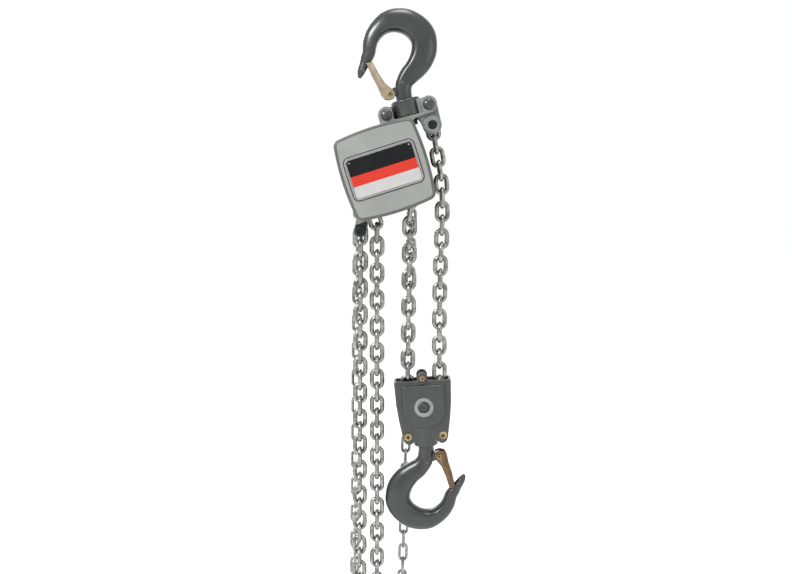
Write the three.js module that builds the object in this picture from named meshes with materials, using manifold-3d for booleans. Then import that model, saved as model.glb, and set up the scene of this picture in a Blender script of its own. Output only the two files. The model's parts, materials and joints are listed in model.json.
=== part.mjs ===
// Hand chain hoist, 3 t on two falls of chain. Millimetres, +Z up, -Y to the front.
// The origin is the saddle of the top hook, where the hoist hangs.
import * as THREE from 'three';
import { mergeVertices } from 'three/addons/utils/BufferGeometryUtils.js';
import Module from 'manifold-3d';

const wasm = await Module();
wasm.setup();

// General clearances
const seatGap = 0.3;
const runningGap = 0.5;
const cutOverrun = 2;

// Load chain and hand chain
const loadChain = { wire: 7.1, pitch: 21.1, width: 23.7, ridge: 4.7, bite: 0.6 };
const handChain = { wire: 5, pitch: 23.6, width: 17, ridge: 3.3, bite: 0.6 };
// Corners of a link's centre line, as shares of its half width and half length
const linkCornerShares = [[1, 0], [0.82, 1], [-0.82, 1], [-1, 0], [-0.82, -1], [0.82, -1]];
const linkSides = 3;

// Where the hoist body's shaft lies below the saddle, and how the body hangs when empty
const bodyTilt = THREE.MathUtils.degToRad(17.5);
const shaftPlace = { x: -13.6, z: -209 };

// Side plates and the space between them
const plateThickness = 5;
const plateSpan = 34;
const plateHalfWidth = 62.2;
const plateHalfHeight = 62.2;
const plateCorner = 11;
const earRadius = 13;
const slackLug = { x: -64.8, z: -78, radius: 9.5, headRadius: 8 };
const stayBolt = { radius: 5, sleeve: 6.5, headRadius: 7, headHeight: 4.5 };
const stayPlaces = [[-47, 38.5], [46.5, -44]];
const stayNames = ['stay_bolt_upper_left', 'stay_bolt_lower_right'];
const guide = { x: -39, wall: 3, top: -46, bottom: -55.5 };

// Gear cover: a pressed square shell with bowed sides
const coverHalfWidth = 63.1;
const coverHalfHeight = 63.2;
const coverBow = 3.6;
const coverCorner = 11;
const coverDepth = 40;
const coverWall = 2.5;
const coverRim = 3.2;
const coverRimDepth = 3.5;
const namePlate = { width: 101, height: 60, corner: 6, thickness: 1, rise: 1.4, rim: 3 };
const bossRadius = 8.5;
const bossLength = 8;

// Load sheave with pockets for the flat links
const sheavePockets = 6;
const sheaveFirstVertex = THREE.MathUtils.degToRad(10);
const sheaveFlange = 2.4;
const toothTopRise = 3;
const toothTipShare = 0.6;
// Each pocket drops away towards its ends, so that links can swing in and out
const pocketRelief = 3.4;
const pocketSeatShare = 0.42;
const pocketReliefShare = 0.84;
const bearingOuter = 22;
const sheaveStubRadius = 12;

// Gear train: each stage turns a pinion against a gear of three times its teeth
const gearModule = 2.4;
const pinionTeeth = 6;
const gearTeeth = 18;
const gearWidth = 7;
const gearStepGap = 3.5;
const spindleRadius = 4;
const shaftRadius = 4.6;
const toothRiseShare = 0.75;
const toothRootShare = 1.1;
const toothTipWidthShare = 0.09;
const toothRootWidthShare = 0.26;

// Load brake and hand wheel behind the rear plate
const brakeHub = { radius: 21, hubRadius: 10, flange: 5 };
const frictionDisc = { radius: 20, thickness: 2.4 };
const ratchet = { teeth: 16, outer: 26, root: 23, thickness: 6 };
const pawl = {
  pinRadius: 3.4, hubRadius: 6.5, width: 7, pinPlace: 42,
  lag: THREE.MathUtils.degToRad(35), tipLag: THREE.MathUtils.degToRad(2),
};
const handWheel = { pockets: 6, width: 24, flange: 2.4, hubRadius: 13, plane: 72 };
const handFirstVertex = THREE.MathUtils.degToRad(6.5);
const wheelNut = { radius: 9, height: 7 };
const wheelCover = { halfSize: 57, corner: 10, nutRoom: 2.3, wall: 2, squat: 2.2, mouthTop: 22, mouthLeft: 8 };

// Yoke, its pins and the chain anchor arm
const yokeTilt = THREE.MathUtils.degToRad(14.5);
const yokeDrum = { radius: 22.3, height: 26, rim: 2.5 };
const yokePin = { offset: 33.2, drop: 3.8, radius: 6, headRadius: 8.9, headRise: 6 };
const yokeLug = { halfWidth: 8, radius: 11.5 };
const yokeDomeShares = [[0, 1], [0.55, 0.84], [0.87, 0.45], [1, 0]];
const armCheek = 4;
const anchorBoss = { x: 89.9, z: 43.4, radius: 14, recess: 6.8, recessDepth: 6, headHeight: 3 };
const anchorPinRadius = 3.6;

// Hooks: both have the same forging
const bowlRadius = 27.3;
const hookAxisOffset = 2.6;
const shankRadius = 9;
const shankShoulder = 12.5;
const hookNut = { radius: 11.6, height: 12 };
// How much of the shank shows between the forging and what carries it
const topShankShows = 3.928;
const bottomShankShows = 8.928;
// Inner point, outer point and thickness of each section, as shares of the bowl's radius
const hookStationShares = [
  [-0.55, -2.64, 0.37, -2.64, 0.92], [-0.5, -2.1, 0.48, -2.2, 0.93],
  [-0.33, -1.63, 0.81, -2.0, 0.95],
  [0.07, -1.12, 1.31, -1.75, 1], [0.5, -0.77, 1.83, -1.36, 1.04],
  [0.86, -0.31, 2.3, -0.71, 1.08], [1.01, 0.15, 2.51, 0.18, 1.1], [0.92, 0.48, 2.38, 0.88, 1.1], [0.68, 0.75, 1.98, 1.5, 1.06],
  [0.37, 0.93, 1.36, 2.0, 1.03], [0.04, 1.0, 0.62, 2.23, 0.99],
  [-0.29, 0.95, -0.11, 2.2, 0.95], [-0.59, 0.79, -0.73, 1.89, 0.9],
  [-0.82, 0.55, -1.25, 1.43, 0.85], [-0.97, 0.26, -1.59, 0.88, 0.8],
  [-1.08, 0.04, -1.74, 0.4, 0.74], [-1.26, -0.18, -1.89, 0.15, 0.66],
  [-1.5, -0.39, -2.03, -0.15, 0.57], [-1.74, -0.62, -2.2, -0.42, 0.51],
  [-1.94, -0.84, -2.31, -0.68, 0.44], [-2.11, -0.97, -2.33, -0.88, 0.26],
];
// The forged section: depth from the inner point and half thickness
const hookSectionShares = [
  [0, 0.45], [0.2, 1], [0.65, 0.84], [1, 0.26],
  [1, -0.26], [0.65, -0.84], [0.2, -1], [0, -0.45],
];
const latch = { lug: 6, lugHalf: 8, wall: 1.6, pin: 2.8, headRadius: 4.8, headHeight: 3.4 };
const latchPivotShares = [-0.81, -2.29];
const latchOutlineShares = [
  [-1.32, -0.33], [-1.15, -1.03], [-0.93, -1.65], [-0.62, -2.07], [-0.55, -2.29], [-0.62, -2.53],
  [-0.88, -2.58], [-1.17, -2.51], [-1.32, -2.2], [-1.39, -1.69], [-1.56, -1.03], [-1.67, -0.33],
];
const latchPocketShares = [
  [-1.38, 0], [-1.22, -1.04], [-1.03, -1.58], [-0.96, -1.7], [-0.37, -1.5],
  [-0.37, -2.75], [-1.83, -2.75], [-1.83, 0],
];

// Bottom block
const blockPlace = { x: 47.3, z: -581 };
const blockTilt = THREE.MathUtils.degToRad(3.5);
const blockHalfWidth = 45.3;
const blockHalfDepth = 17;
const blockFaceRise = 7;
const blockFaceRadius = 33.6;
const blockFaceDrop = 6.5;
const blockWall = 1.8;
const blockTop = 41.5;
// One side of the block's outline, as shares of its half width and its top
const blockSideShares = [[0.37, -1.3], [0.81, -1.15], [0.9, -0.55], [0.97, 0.1], [1, 1]];
const blockNeck = { radius: 17, bottom: 66, nutTop: 43.5, nutFloor: 57.5 };
const blockBolt = { x: 27.7, z: -47.6, radius: 3.4, headRadius: 6.6, headHeight: 4, lug: 9 };
const blockTopBolt = { z: 45.6, lug: 8.9, headRadius: 4.6 };
const blockAxle = { radius: 8.6, washer: 15.2, washerRise: 1.4 };
const idlePockets = 4;

// How the chains hang: counts of links, and where the loops turn
const guideLinks = 4;
const guideExit = { x: -26.6, z: -296.2 };
const deadFallLinks = 21;
const liveFallLinks = 18;
const slackFallLinks = 28;
const slackEndLinks = 28;
const slackBottom = { x: -27.8, z: -889 };
const slackEndBottom = { x: -57.1, z: -889 };
const slackLoopLinks = 2;
const slackLoopDepth = 11;
const handFallLinks = 29;
const handLeftBottom = { x: -67.7, z: -893 };
const handRightBottom = { x: 14.3, z: -893 };
const handLoopLinks = 6;
const handLoopDepth = 46;
// The dead fall lies out to the right: shares of its length and of its bulge
const deadBulge = 12.5;
const deadLeanShare = 0.15;
const deadBulgeShares = [
  [0, 0], [0.1, 0.5], [0.2, 0.98], [0.3, 1], [0.4, 0.83], [0.5, 0.58], [0.7, 0.25], [0.85, 0.1], [1, 0],
];

const steel = (color, roughness, metalness) =>
  new THREE.MeshStandardMaterial({ color, roughness, metalness });
const finish = {
  coverPaint: steel(0xa2a4a3, 0.42, 0.35),
  darkPaint: steel(0x55585a, 0.4, 0.45),
  platePaint: steel(0x8d8f8f, 0.5, 0.4),
  zinc: steel(0xb4b4b0, 0.35, 0.9),
  brass: steel(0xa8884a, 0.35, 0.9),
  latchGold: steel(0xd8b98c, 0.4, 0.7),
  blackSteel: steel(0x2b2d2e, 0.5, 0.7),
  machined: steel(0x8f9294, 0.35, 0.95),
  lining: steel(0x4a3f36, 0.9, 0),
  label: steel(0xc9c7c4, 0.35, 0.3),
};

// Solid modelling helpers

function toSolid(geometry) {
  const bare = geometry.clone();
  bare.deleteAttribute('normal');
  bare.deleteAttribute('uv');
  const merged = mergeVertices(bare);
  const positions = merged.attributes.position.array;
  const triangles = [];
  let volume = 0;
  const a = new THREE.Vector3();
  const b = new THREE.Vector3();
  const c = new THREE.Vector3();
  for (let i = 0; i < merged.index.count; i += 3) {
    const [p, q, r] = [0, 1, 2].map(step => merged.index.getX(i + step));
    if (p === q || q === r || r === p) continue;
    triangles.push(p, q, r);
    a.fromArray(positions, 3 * p);
    b.fromArray(positions, 3 * q);
    c.fromArray(positions, 3 * r);
    volume += a.dot(b.cross(c));
  }
  if (volume < 0) triangles.reverse();
  const mesh = new wasm.Mesh({
    numProp: 3,
    vertProperties: new Float32Array(positions),
    triVerts: new Uint32Array(triangles),
  });
  return new wasm.Manifold(mesh);
}

function toGeometry(solid) {
  const mesh = solid.getMesh();
  const geometry = new THREE.BufferGeometry();
  geometry.setAttribute('position', new THREE.BufferAttribute(mesh.vertProperties, 3));
  geometry.setIndex(new THREE.BufferAttribute(mesh.triVerts, 1));
  geometry.computeVertexNormals();
  return geometry;
}

const join = (...solids) => solids.reduce((whole, next) => whole.add(next));
const cut = (solid, ...tools) => tools.reduce((whole, tool) => whole.subtract(tool), solid);

// A front view outline in X and Z, pushed from yFront to yBack
function plate(shape, yFront, yBack, curveSegments = 3) {
  const geometry = new THREE.ExtrudeGeometry(shape, {
    depth: yBack - yFront, bevelEnabled: false, curveSegments,
  });
  geometry.rotateX(Math.PI / 2);
  geometry.translate(0, yBack, 0);
  return toSolid(geometry);
}

// A profile of [radius, y] turned about a line along Y through x, z
function turnedY(profile, segments = 16, x = 0, z = 0) {
  const points = profile.map(([radius, y]) => new THREE.Vector2(radius, y));
  const geometry = new THREE.LatheGeometry(points, segments);
  geometry.translate(x, 0, z);
  return toSolid(geometry);
}

// A profile of [radius, z] turned about the Z axis
function turnedZ(profile, segments = 16) {
  const points = profile.map(([radius, z]) => new THREE.Vector2(radius, z));
  const geometry = new THREE.LatheGeometry(points, segments);
  geometry.rotateX(Math.PI / 2);
  return toSolid(geometry);
}

const rodY = (radius, yFront, yBack, x = 0, z = 0, segments = 8) =>
  turnedY([[0, yFront], [radius, yFront], [radius, yBack], [0, yBack]], segments, x, z);
const ringY = (outer, inner, yFront, yBack, segments = 12) =>
  turnedY([[inner, yFront], [outer, yFront], [outer, yBack], [inner, yBack], [inner, yFront]], segments);

// A bore that leaves the seat's gap at its flats
const boreRadius = (radius, segments = 8) => (radius + seatGap) / Math.cos(Math.PI / segments);
const boreY = (radius, yFront, yBack, x = 0, z = 0, segments = 8) =>
  rodY(boreRadius(radius, segments), yFront, yBack, x, z, segments);
const rodZ = (radius, zLow, zHigh, segments = 8) =>
  turnedZ([[0, zLow], [radius, zLow], [radius, zHigh], [0, zHigh]], segments);

function block(x0, x1, y0, y1, z0, z1) {
  const geometry = new THREE.BoxGeometry(x1 - x0, y1 - y0, z1 - z0);
  geometry.translate((x0 + x1) / 2, (y0 + y1) / 2, (z0 + z1) / 2);
  return toSolid(geometry);
}

const outline = points => new THREE.Shape(points.map(([x, z]) => new THREE.Vector2(x, z)));

// A bar with round ends between two places
function capsule(x0, z0, x1, z1, radius) {
  const angle = Math.atan2(z1 - z0, x1 - x0);
  const shape = new THREE.Shape();
  shape.absarc(x1, z1, radius, angle - Math.PI / 2, angle + Math.PI / 2);
  shape.absarc(x0, z0, radius, angle + Math.PI / 2, angle + 3 * Math.PI / 2);
  shape.closePath();
  return shape;
}

function roundedRectangle(halfWidth, halfHeight, corner) {
  const shape = new THREE.Shape();
  const x = halfWidth - corner;
  const z = halfHeight - corner;
  shape.absarc(x, z, corner, 0, Math.PI / 2);
  shape.absarc(-x, z, corner, Math.PI / 2, Math.PI);
  shape.absarc(-x, -z, corner, Math.PI, 3 * Math.PI / 2);
  shape.absarc(x, -z, corner, 3 * Math.PI / 2, 2 * Math.PI);
  shape.closePath();
  return shape;
}

// A rounded rectangle whose four sides bow out
function bowedRectangle(halfWidth, halfHeight, corner, bow) {
  const shape = new THREE.Shape();
  const x = halfWidth - corner;
  const z = halfHeight - corner;
  shape.absarc(x, z, corner, 0, Math.PI / 2);
  shape.quadraticCurveTo(0, halfHeight + 2 * bow, -x, halfHeight);
  shape.absarc(-x, z, corner, Math.PI / 2, Math.PI);
  shape.quadraticCurveTo(-halfWidth - 2 * bow, 0, -halfWidth, -z);
  shape.absarc(-x, -z, corner, Math.PI, 3 * Math.PI / 2);
  shape.quadraticCurveTo(0, -halfHeight - 2 * bow, x, -halfHeight);
  shape.absarc(x, -z, corner, 3 * Math.PI / 2, 2 * Math.PI);
  shape.quadraticCurveTo(halfWidth + 2 * bow, 0, halfWidth, z);
  return shape;
}

const hexagon = radius => outline([0, 1, 2, 3, 4, 5].map(step =>
  [radius * Math.cos(step * Math.PI / 3), radius * Math.sin(step * Math.PI / 3)]));

// Frames tilted in the front view: counter-clockwise by angle, with their origin at x, z
const tilted = (solid, place, angle) =>
  solid.rotate([0, -THREE.MathUtils.radToDeg(angle), 0]).translate([place.x, 0, place.z]);
const fromFrame = (place, angle, x, z) => ({
  x: place.x + x * Math.cos(angle) - z * Math.sin(angle),
  z: place.z + x * Math.sin(angle) + z * Math.cos(angle),
});
function intoFrame(place, angle, point) {
  const dx = point.x - place.x;
  const dz = point.z - place.z;
  return {
    x: dx * Math.cos(angle) + dz * Math.sin(angle),
    z: -dx * Math.sin(angle) + dz * Math.cos(angle),
  };
}

const hoist = new THREE.Group();
function addPiece(name, solid, material, place = { x: 0, z: 0 }, angle = 0) {
  const mesh = new THREE.Mesh(toGeometry(solid), material);
  mesh.name = name;
  mesh.position.set(place.x, 0, place.z);
  mesh.rotation.y = -angle;
  hoist.add(mesh);
}
const addBodyPiece = (name, solid, material) => addPiece(name, solid, material, shaftPlace, bodyTilt);

// Chain links and how they are laid

// A link's section has a ridge towards the opening; how far it goes the other ways
const linkBack = chain => chain.ridge * Math.cos(Math.PI / linkSides);
const linkHalfThickness = chain => chain.ridge * Math.sin(Math.PI / linkSides);
const linkHalfLength = chain => (chain.pitch - chain.bite) / 2 + chain.ridge + linkBack(chain);

// One link along X, flat to Y
function linkSolid(chain) {
  const halfLength = linkHalfLength(chain) - linkBack(chain);
  const halfWidth = chain.width / 2 - linkBack(chain);
  const corners = linkCornerShares.map(([across, along]) =>
    new THREE.Vector2(halfLength * along, halfWidth * across));
  const count = corners.length;
  const positions = [];
  const indices = [];
  corners.forEach((corner, i) => {
    const before = corners[(i + count - 1) % count];
    const after = corners[(i + 1) % count];
    const edgeIn = corner.clone().sub(before).normalize();
    const edgeOut = after.clone().sub(corner).normalize();
    const inward = new THREE.Vector2(edgeIn.y + edgeOut.y, -edgeIn.x - edgeOut.x).normalize();
    const mitre = 1 / Math.sqrt((1 + edgeIn.dot(edgeOut)) / 2);
    for (let side = 0; side < linkSides; side += 1) {
      const angle = 2 * Math.PI * side / linkSides;
      const depth = chain.ridge * Math.cos(angle) * mitre;
      positions.push(
        corner.x + inward.x * depth,
        chain.ridge * Math.sin(angle),
        corner.y + inward.y * depth,
      );
      const next = (side + 1) % linkSides;
      const ring = i * linkSides;
      const nextRing = ((i + 1) % count) * linkSides;
      indices.push(ring + side, nextRing + side, nextRing + next);
      indices.push(ring + side, nextRing + next, ring + next);
    }
  });
  const geometry = new THREE.BufferGeometry();
  geometry.setAttribute('position', new THREE.Float32BufferAttribute(positions, 3));
  geometry.setIndex(indices);
  return toSolid(geometry);
}

// Radius of the circle through a wheel's link joints, two links to a pocket
function wheelRadius(chain, pockets) {
  const step = Math.PI / pockets;
  const chord = chain.pitch - chain.wire * Math.tan(step / 2) ** 2;
  return chord / (2 * Math.sin(step / 2));
}

function wheelJoints(chain, pockets, place, firstAngle, count) {
  const radius = wheelRadius(chain, pockets);
  return Array.from({ length: count + 1 }, (unused, i) => {
    const angle = firstAngle + i * Math.PI / pockets;
    return { x: place.x + radius * Math.cos(angle), z: place.z + radius * Math.sin(angle) };
  });
}

const straightJoints = (from, to, count) => Array.from({ length: count + 1 }, (unused, i) => ({
  x: from.x + (to.x - from.x) * i / count,
  z: from.z + (to.z - from.z) * i / count,
}));

function curveJoints(points, count) {
  const curve = new THREE.CatmullRomCurve3(points.map(({ x, z }) => new THREE.Vector3(x, 0, z)));
  return curve.getSpacedPoints(count).map(({ x, z }) => ({ x, z }));
}

// The hanging bottom of a loop: half an ellipse between two falls
function loopJoints(from, to, depth, count) {
  const middle = (from.x + to.x) / 2;
  const points = Array.from({ length: 2 * count + 1 }, (unused, i) => {
    const angle = Math.PI * i / (2 * count);
    return {
      x: middle + (from.x - middle) * Math.cos(angle),
      z: from.z + (to.z - from.z) * i / (2 * count) - depth * Math.sin(angle),
    };
  });
  return curveJoints(points, count);
}

// A run of links between joints. Inside the run they bear on each other as one
// body; its ends reach out so that a gap is left to the runs before and after.
function layChain(name, chain, joints, firstFacesFront, plane = 0) {
  const link = linkSolid(chain);
  const reach = chain.bite + runningGap;
  const places = joints.map(joint => ({ ...joint }));
  const stretch = (end, inner) => {
    const length = Math.hypot(end.x - inner.x, end.z - inner.z);
    end.x += (end.x - inner.x) * reach / length;
    end.z += (end.z - inner.z) * reach / length;
  };
  stretch(places[0], joints[1]);
  stretch(places[places.length - 1], joints[joints.length - 2]);
  const links = places.slice(1).map((place, i) => {
    const before = places[i];
    const facesFront = (i % 2 === 0) === firstFacesFront;
    const angle = THREE.MathUtils.radToDeg(Math.atan2(place.z - before.z, place.x - before.x));
    return link.rotate([facesFront ? 0 : 90, 0, 0]).rotate([0, -angle, 0])
      .translate([(place.x + before.x) / 2, plane, (place.z + before.z) / 2]);
  });
  addPiece(name, join(...links), finish.zinc);
}

// A wheel whose pockets hold the flat links, with a slot for the standing ones
function pocketWheel(chain, pockets, phase, flange) {
  const step = Math.PI / pockets;
  const apothem = wheelRadius(chain, pockets) * Math.cos(step / 2);
  const seat = apothem - linkHalfThickness(chain) - seatGap;
  const halfLink = linkHalfLength(chain) + runningGap;
  const halfSlot = linkHalfThickness(chain) + runningGap;
  const standing = chain.width / 2;
  const halfTooth = step - Math.atan2(halfLink, seat);
  const toothTop = seat / Math.cos(step) + toothTopRise;
  const points = [];
  for (let i = 0; i < pockets; i += 1) {
    const angle = phase + 2 * i * step;
    const along = (radial, across) => [
      radial * Math.cos(angle) - across * Math.sin(angle),
      radial * Math.sin(angle) + across * Math.cos(angle),
    ];
    const tip = turn => [toothTop * Math.cos(angle + turn), toothTop * Math.sin(angle + turn)];
    points.push(
      along(seat - pocketRelief, -halfLink * pocketReliefShare),
      along(seat, -halfLink * pocketSeatShare),
      along(seat, halfLink * pocketSeatShare),
      along(seat - pocketRelief, halfLink * pocketReliefShare),
    );
    points.push(tip(step - halfTooth * toothTipShare), tip(step + halfTooth * toothTipShare));
  }
  const halfGroove = standing + runningGap;
  const wall = halfGroove + flange;
  const rim = apothem + chain.ridge + flange;
  return join(
    rodY(apothem - standing - runningGap, -wall, wall, 0, 0, 12),
    plate(outline(points), -halfGroove - flange / 2, -halfSlot),
    plate(outline(points), halfSlot, halfGroove + flange / 2),
    rodY(rim, -wall, -halfGroove, 0, 0, 18),
    rodY(rim, halfGroove, wall, 0, 0, 18),
  );
}

function gearOutline(teeth, phase) {
  const pitchRadius = gearModule * teeth / 2;
  const root = pitchRadius - gearModule * toothRootShare;
  const tip = pitchRadius + gearModule * toothRiseShare;
  const step = 2 * Math.PI / teeth;
  const points = [];
  for (let i = 0; i < teeth; i += 1) {
    const at = (radius, share) => {
      const angle = phase + (i + share) * step;
      return [radius * Math.cos(angle), radius * Math.sin(angle)];
    };
    points.push(at(root, -toothRootWidthShare), at(tip, -toothTipWidthShare));
    points.push(at(tip, toothTipWidthShare), at(root, toothRootWidthShare));
  }
  return outline(points);
}

// Hoist body, in its own frame round the shaft

const plateBack = plateSpan / 2;
const plateFront = plateBack + plateThickness;
const bowlTop = { x: 0, z: -bowlRadius };
const forgingReach = -bowlRadius * hookStationShares[0][1];
const topHookReach = forgingReach + topShankShows + yokeDrum.height / 2;
const blockHookReach = forgingReach + bottomShankShows + blockNeck.bottom;
const yokePlace = fromFrame(bowlTop, yokeTilt, -hookAxisOffset, -topHookReach);
const yokeInBody = intoFrame(shaftPlace, bodyTilt, yokePlace);
const yokeTurn = yokeTilt - bodyTilt;
const pinsInBody = [-1, 1].map(side =>
  fromFrame(yokeInBody, yokeTurn, side * yokePin.offset, -yokePin.drop));
const [leftPin, rightPin] = pinsInBody;

// What the drum of the yoke needs to turn clear of the plates and the arm
const drumClear = tilted(
  rodZ(yokeDrum.radius + 2 * runningGap, -yokeDrum.height / 2 - runningGap, yokeDrum.height, 20),
  yokeInBody, yokeTurn,
);

// The plates are notched right round the drum, which shows whole between their ears
const drumNotch = tilted(
  block(-yokeDrum.radius - 2 * runningGap, yokeDrum.radius + 2 * runningGap, -plateSpan, plateSpan,
    -yokeDrum.height / 2 - runningGap, yokeDrum.height),
  yokeInBody, yokeTurn,
);

function sidePlate(yFront, yBack) {
  const body = plate(roundedRectangle(plateHalfWidth, plateHalfHeight, plateCorner), yFront, yBack);
  const root = plateHalfHeight - earRadius;
  const webLow = plateHalfHeight - plateThickness;
  const webHigh = yokeInBody.z - yokeDrum.height / 2;
  const whole = join(
    body,
    plate(capsule(leftPin.x - plateThickness, root, leftPin.x, leftPin.z, earRadius), yFront, yBack),
    plate(capsule(leftPin.x, leftPin.z, rightPin.x, rightPin.z, earRadius), yFront, yBack),
    block(leftPin.x, yokeInBody.x + plateThickness, yFront, yBack, webLow, webHigh),
    plate(capsule(-plateHalfWidth + slackLug.radius, -plateHalfHeight + slackLug.radius,
      slackLug.x, slackLug.z, slackLug.radius), yFront, yBack),
  );
  const low = yFront - cutOverrun;
  const high = yBack + cutOverrun;
  const holes = pinsInBody.map(pin => boreY(yokePin.radius, low, high, pin.x, pin.z, 10));
  stayPlaces.forEach(([x, z]) => holes.push(boreY(stayBolt.radius, low, high, x, z)));
  return cut(
    whole, drumNotch, ...holes,
    boreY(bearingOuter, low, high, 0, 0, 16),
    boreY(anchorPinRadius, low, high, slackLug.x, slackLug.z),
  );
}

const gearStage = gearModule * (gearTeeth + pinionTeeth) / 2;
const spindlePlaces = [[0, gearStage], [0, -gearStage]];
const spindleHoles = (yFront, yBack) => spindlePlaces.map(([x, z]) =>
  boreY(spindleRadius, yFront, yBack, x, z));

const pawlPlaces = [1, -1].map(side => {
  const angle = side * Math.PI / 2 - pawl.lag;
  return [pawl.pinPlace * Math.cos(angle), pawl.pinPlace * Math.sin(angle)];
});
const pawlHoles = pawlPlaces.map(([x, z]) =>
  boreY(pawl.pinRadius, plateBack - cutOverrun, plateFront + cutOverrun, x, z));

addBodyPiece('gear_side_plate', cut(
  sidePlate(-plateFront, -plateBack),
  ...spindleHoles(-plateFront - cutOverrun, -plateBack + cutOverrun),
), finish.platePaint);
addBodyPiece('wheel_side_plate', cut(sidePlate(plateBack, plateFront), ...pawlHoles), finish.platePaint);

// Stay bolts: a sleeve between the plates and a head outside each
stayPlaces.forEach(([x, z], i) => {
  const sleeve = plateBack - seatGap;
  const seat = plateFront + seatGap;
  const end = seat + stayBolt.headHeight;
  const { radius, headRadius, sleeve: sleeveRadius } = stayBolt;
  addBodyPiece(stayNames[i], turnedY([
    [0, -end], [headRadius, -end], [headRadius, -seat], [radius, -seat],
    [radius, -sleeve], [sleeveRadius, -sleeve], [sleeveRadius, sleeve], [radius, sleeve],
    [radius, seat], [headRadius, seat], [headRadius, end], [0, end],
  ], 10, x, z), finish.machined);
});

// Gear cover with its front edge rounded over and bosses for the spindles
const coverMouth = -plateFront - seatGap;
const coverFace = coverMouth - coverDepth;
const bossFront = coverFace + coverWall;
const spindleEnd = bossFront + coverWall;
function gearCover() {
  const geometry = new THREE.ExtrudeGeometry(
    bowedRectangle(coverHalfWidth, coverHalfHeight, coverCorner, coverBow),
    {
      depth: coverDepth, bevelThickness: coverRimDepth, bevelSize: coverRim,
      bevelOffset: -coverRim, bevelSegments: 2, curveSegments: 3,
    },
  );
  geometry.rotateX(Math.PI / 2);
  geometry.translate(0, coverFace + coverRimDepth + coverDepth, 0);
  const reach = coverHalfWidth + coverBow + cutOverrun;
  const inside = bowedRectangle(
    coverHalfWidth - coverWall, coverHalfHeight - coverWall, coverCorner - coverWall, coverBow,
  );
  const shell = cut(
    toSolid(geometry),
    block(-reach, reach, coverMouth, coverMouth + 2 * coverDepth, -reach, reach),
    plate(inside, bossFront + coverRimDepth / 2, coverMouth + cutOverrun, 3),
  );
  const rim = namePlate.rim;
  const frame = cut(
    plate(roundedRectangle(namePlate.width / 2 + rim, namePlate.height / 2 + rim,
      namePlate.corner + rim), coverFace - namePlate.rise, coverFace + coverWall, 3),
    plate(roundedRectangle(namePlate.width / 2, namePlate.height / 2, namePlate.corner),
      coverFace - coverDepth, coverFace, 3),
  );
  const bosses = [[0, 0], ...spindlePlaces].map(([x, z]) =>
    rodY(bossRadius, bossFront, spindleEnd + bossLength, x, z));
  const bores = [
    boreY(shaftRadius, spindleEnd - seatGap, coverMouth, 0, 0),
    ...spindlePlaces.map(([x, z]) =>
      boreY(spindleRadius, spindleEnd - seatGap, coverMouth, x, z)),
  ];
  return cut(join(shell, frame, ...bosses), ...bores);
}
addBodyPiece('gear_cover', gearCover(), finish.coverPaint);
addBodyPiece('name_plate', plate(
  roundedRectangle(namePlate.width / 2 - seatGap, namePlate.height / 2 - seatGap, namePlate.corner),
  coverFace - seatGap - namePlate.thickness, coverFace - seatGap, 3,
), finish.label);

// Sheave bearings in the side plates
[['sheave_bearing_front', -plateFront], ['sheave_bearing_rear', plateBack]].forEach(([name, y]) => {
  addBodyPiece(name, ringY(bearingOuter, boreRadius(sheaveStubRadius, 16), y, y + plateThickness, 16), finish.machined);
});

// Load sheave with the stub that carries the load gear
const sheavePhase = sheaveFirstVertex + Math.PI / (2 * sheavePockets) - bodyTilt;
const gearBack = coverMouth - gearStepGap - seatGap;
const gearFront = gearBack - gearWidth;
const inputBack = gearFront - gearStepGap;
const inputFront = inputBack - gearWidth;
addBodyPiece('load_sheave', cut(
  join(
    pocketWheel(loadChain, sheavePockets, sheavePhase, sheaveFlange),
    rodY(sheaveStubRadius, gearFront, plateFront, 0, 0, 16),
  ),
  boreY(shaftRadius + seatGap, -coverDepth - plateFront, coverDepth),
), finish.machined);
addBodyPiece('load_gear', cut(
  plate(gearOutline(gearTeeth, 0), gearFront, gearBack),
  boreY(sheaveStubRadius, gearFront - cutOverrun, gearBack + cutOverrun, 0, 0, 16),
), finish.machined);

// Two double gears between the shaft pinion and the load gear
const pinionPhase = Math.PI / pinionTeeth;
spindlePlaces.forEach(([x, z], i) => {
  const gear = join(
    plate(gearOutline(pinionTeeth, pinionPhase), gearFront - gearStepGap / 2, gearBack),
    plate(gearOutline(gearTeeth, 0), inputFront, inputBack),
    plate(hexagon(spindleRadius + seatGap), inputBack - seatGap, gearFront),
    rodY(spindleRadius, spindleEnd, -plateBack - seatGap, 0, 0, 12),
  );
  const name = ['intermediate_gear_upper', 'intermediate_gear_lower'][i];
  addBodyPiece(name, gear.translate([x, 0, z]), finish.machined);
});

// Drive shaft through the sheave, with the input pinion cut on it
const wheelBack = handWheel.plane + handWheel.width / 2;
const shaftEnd = wheelBack + wheelNut.height + runningGap;
addBodyPiece('drive_shaft', join(
  rodY(shaftRadius, spindleEnd, shaftEnd),
  plate(gearOutline(pinionTeeth, pinionPhase), inputFront - seatGap, inputBack + seatGap),
), finish.machined);

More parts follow.
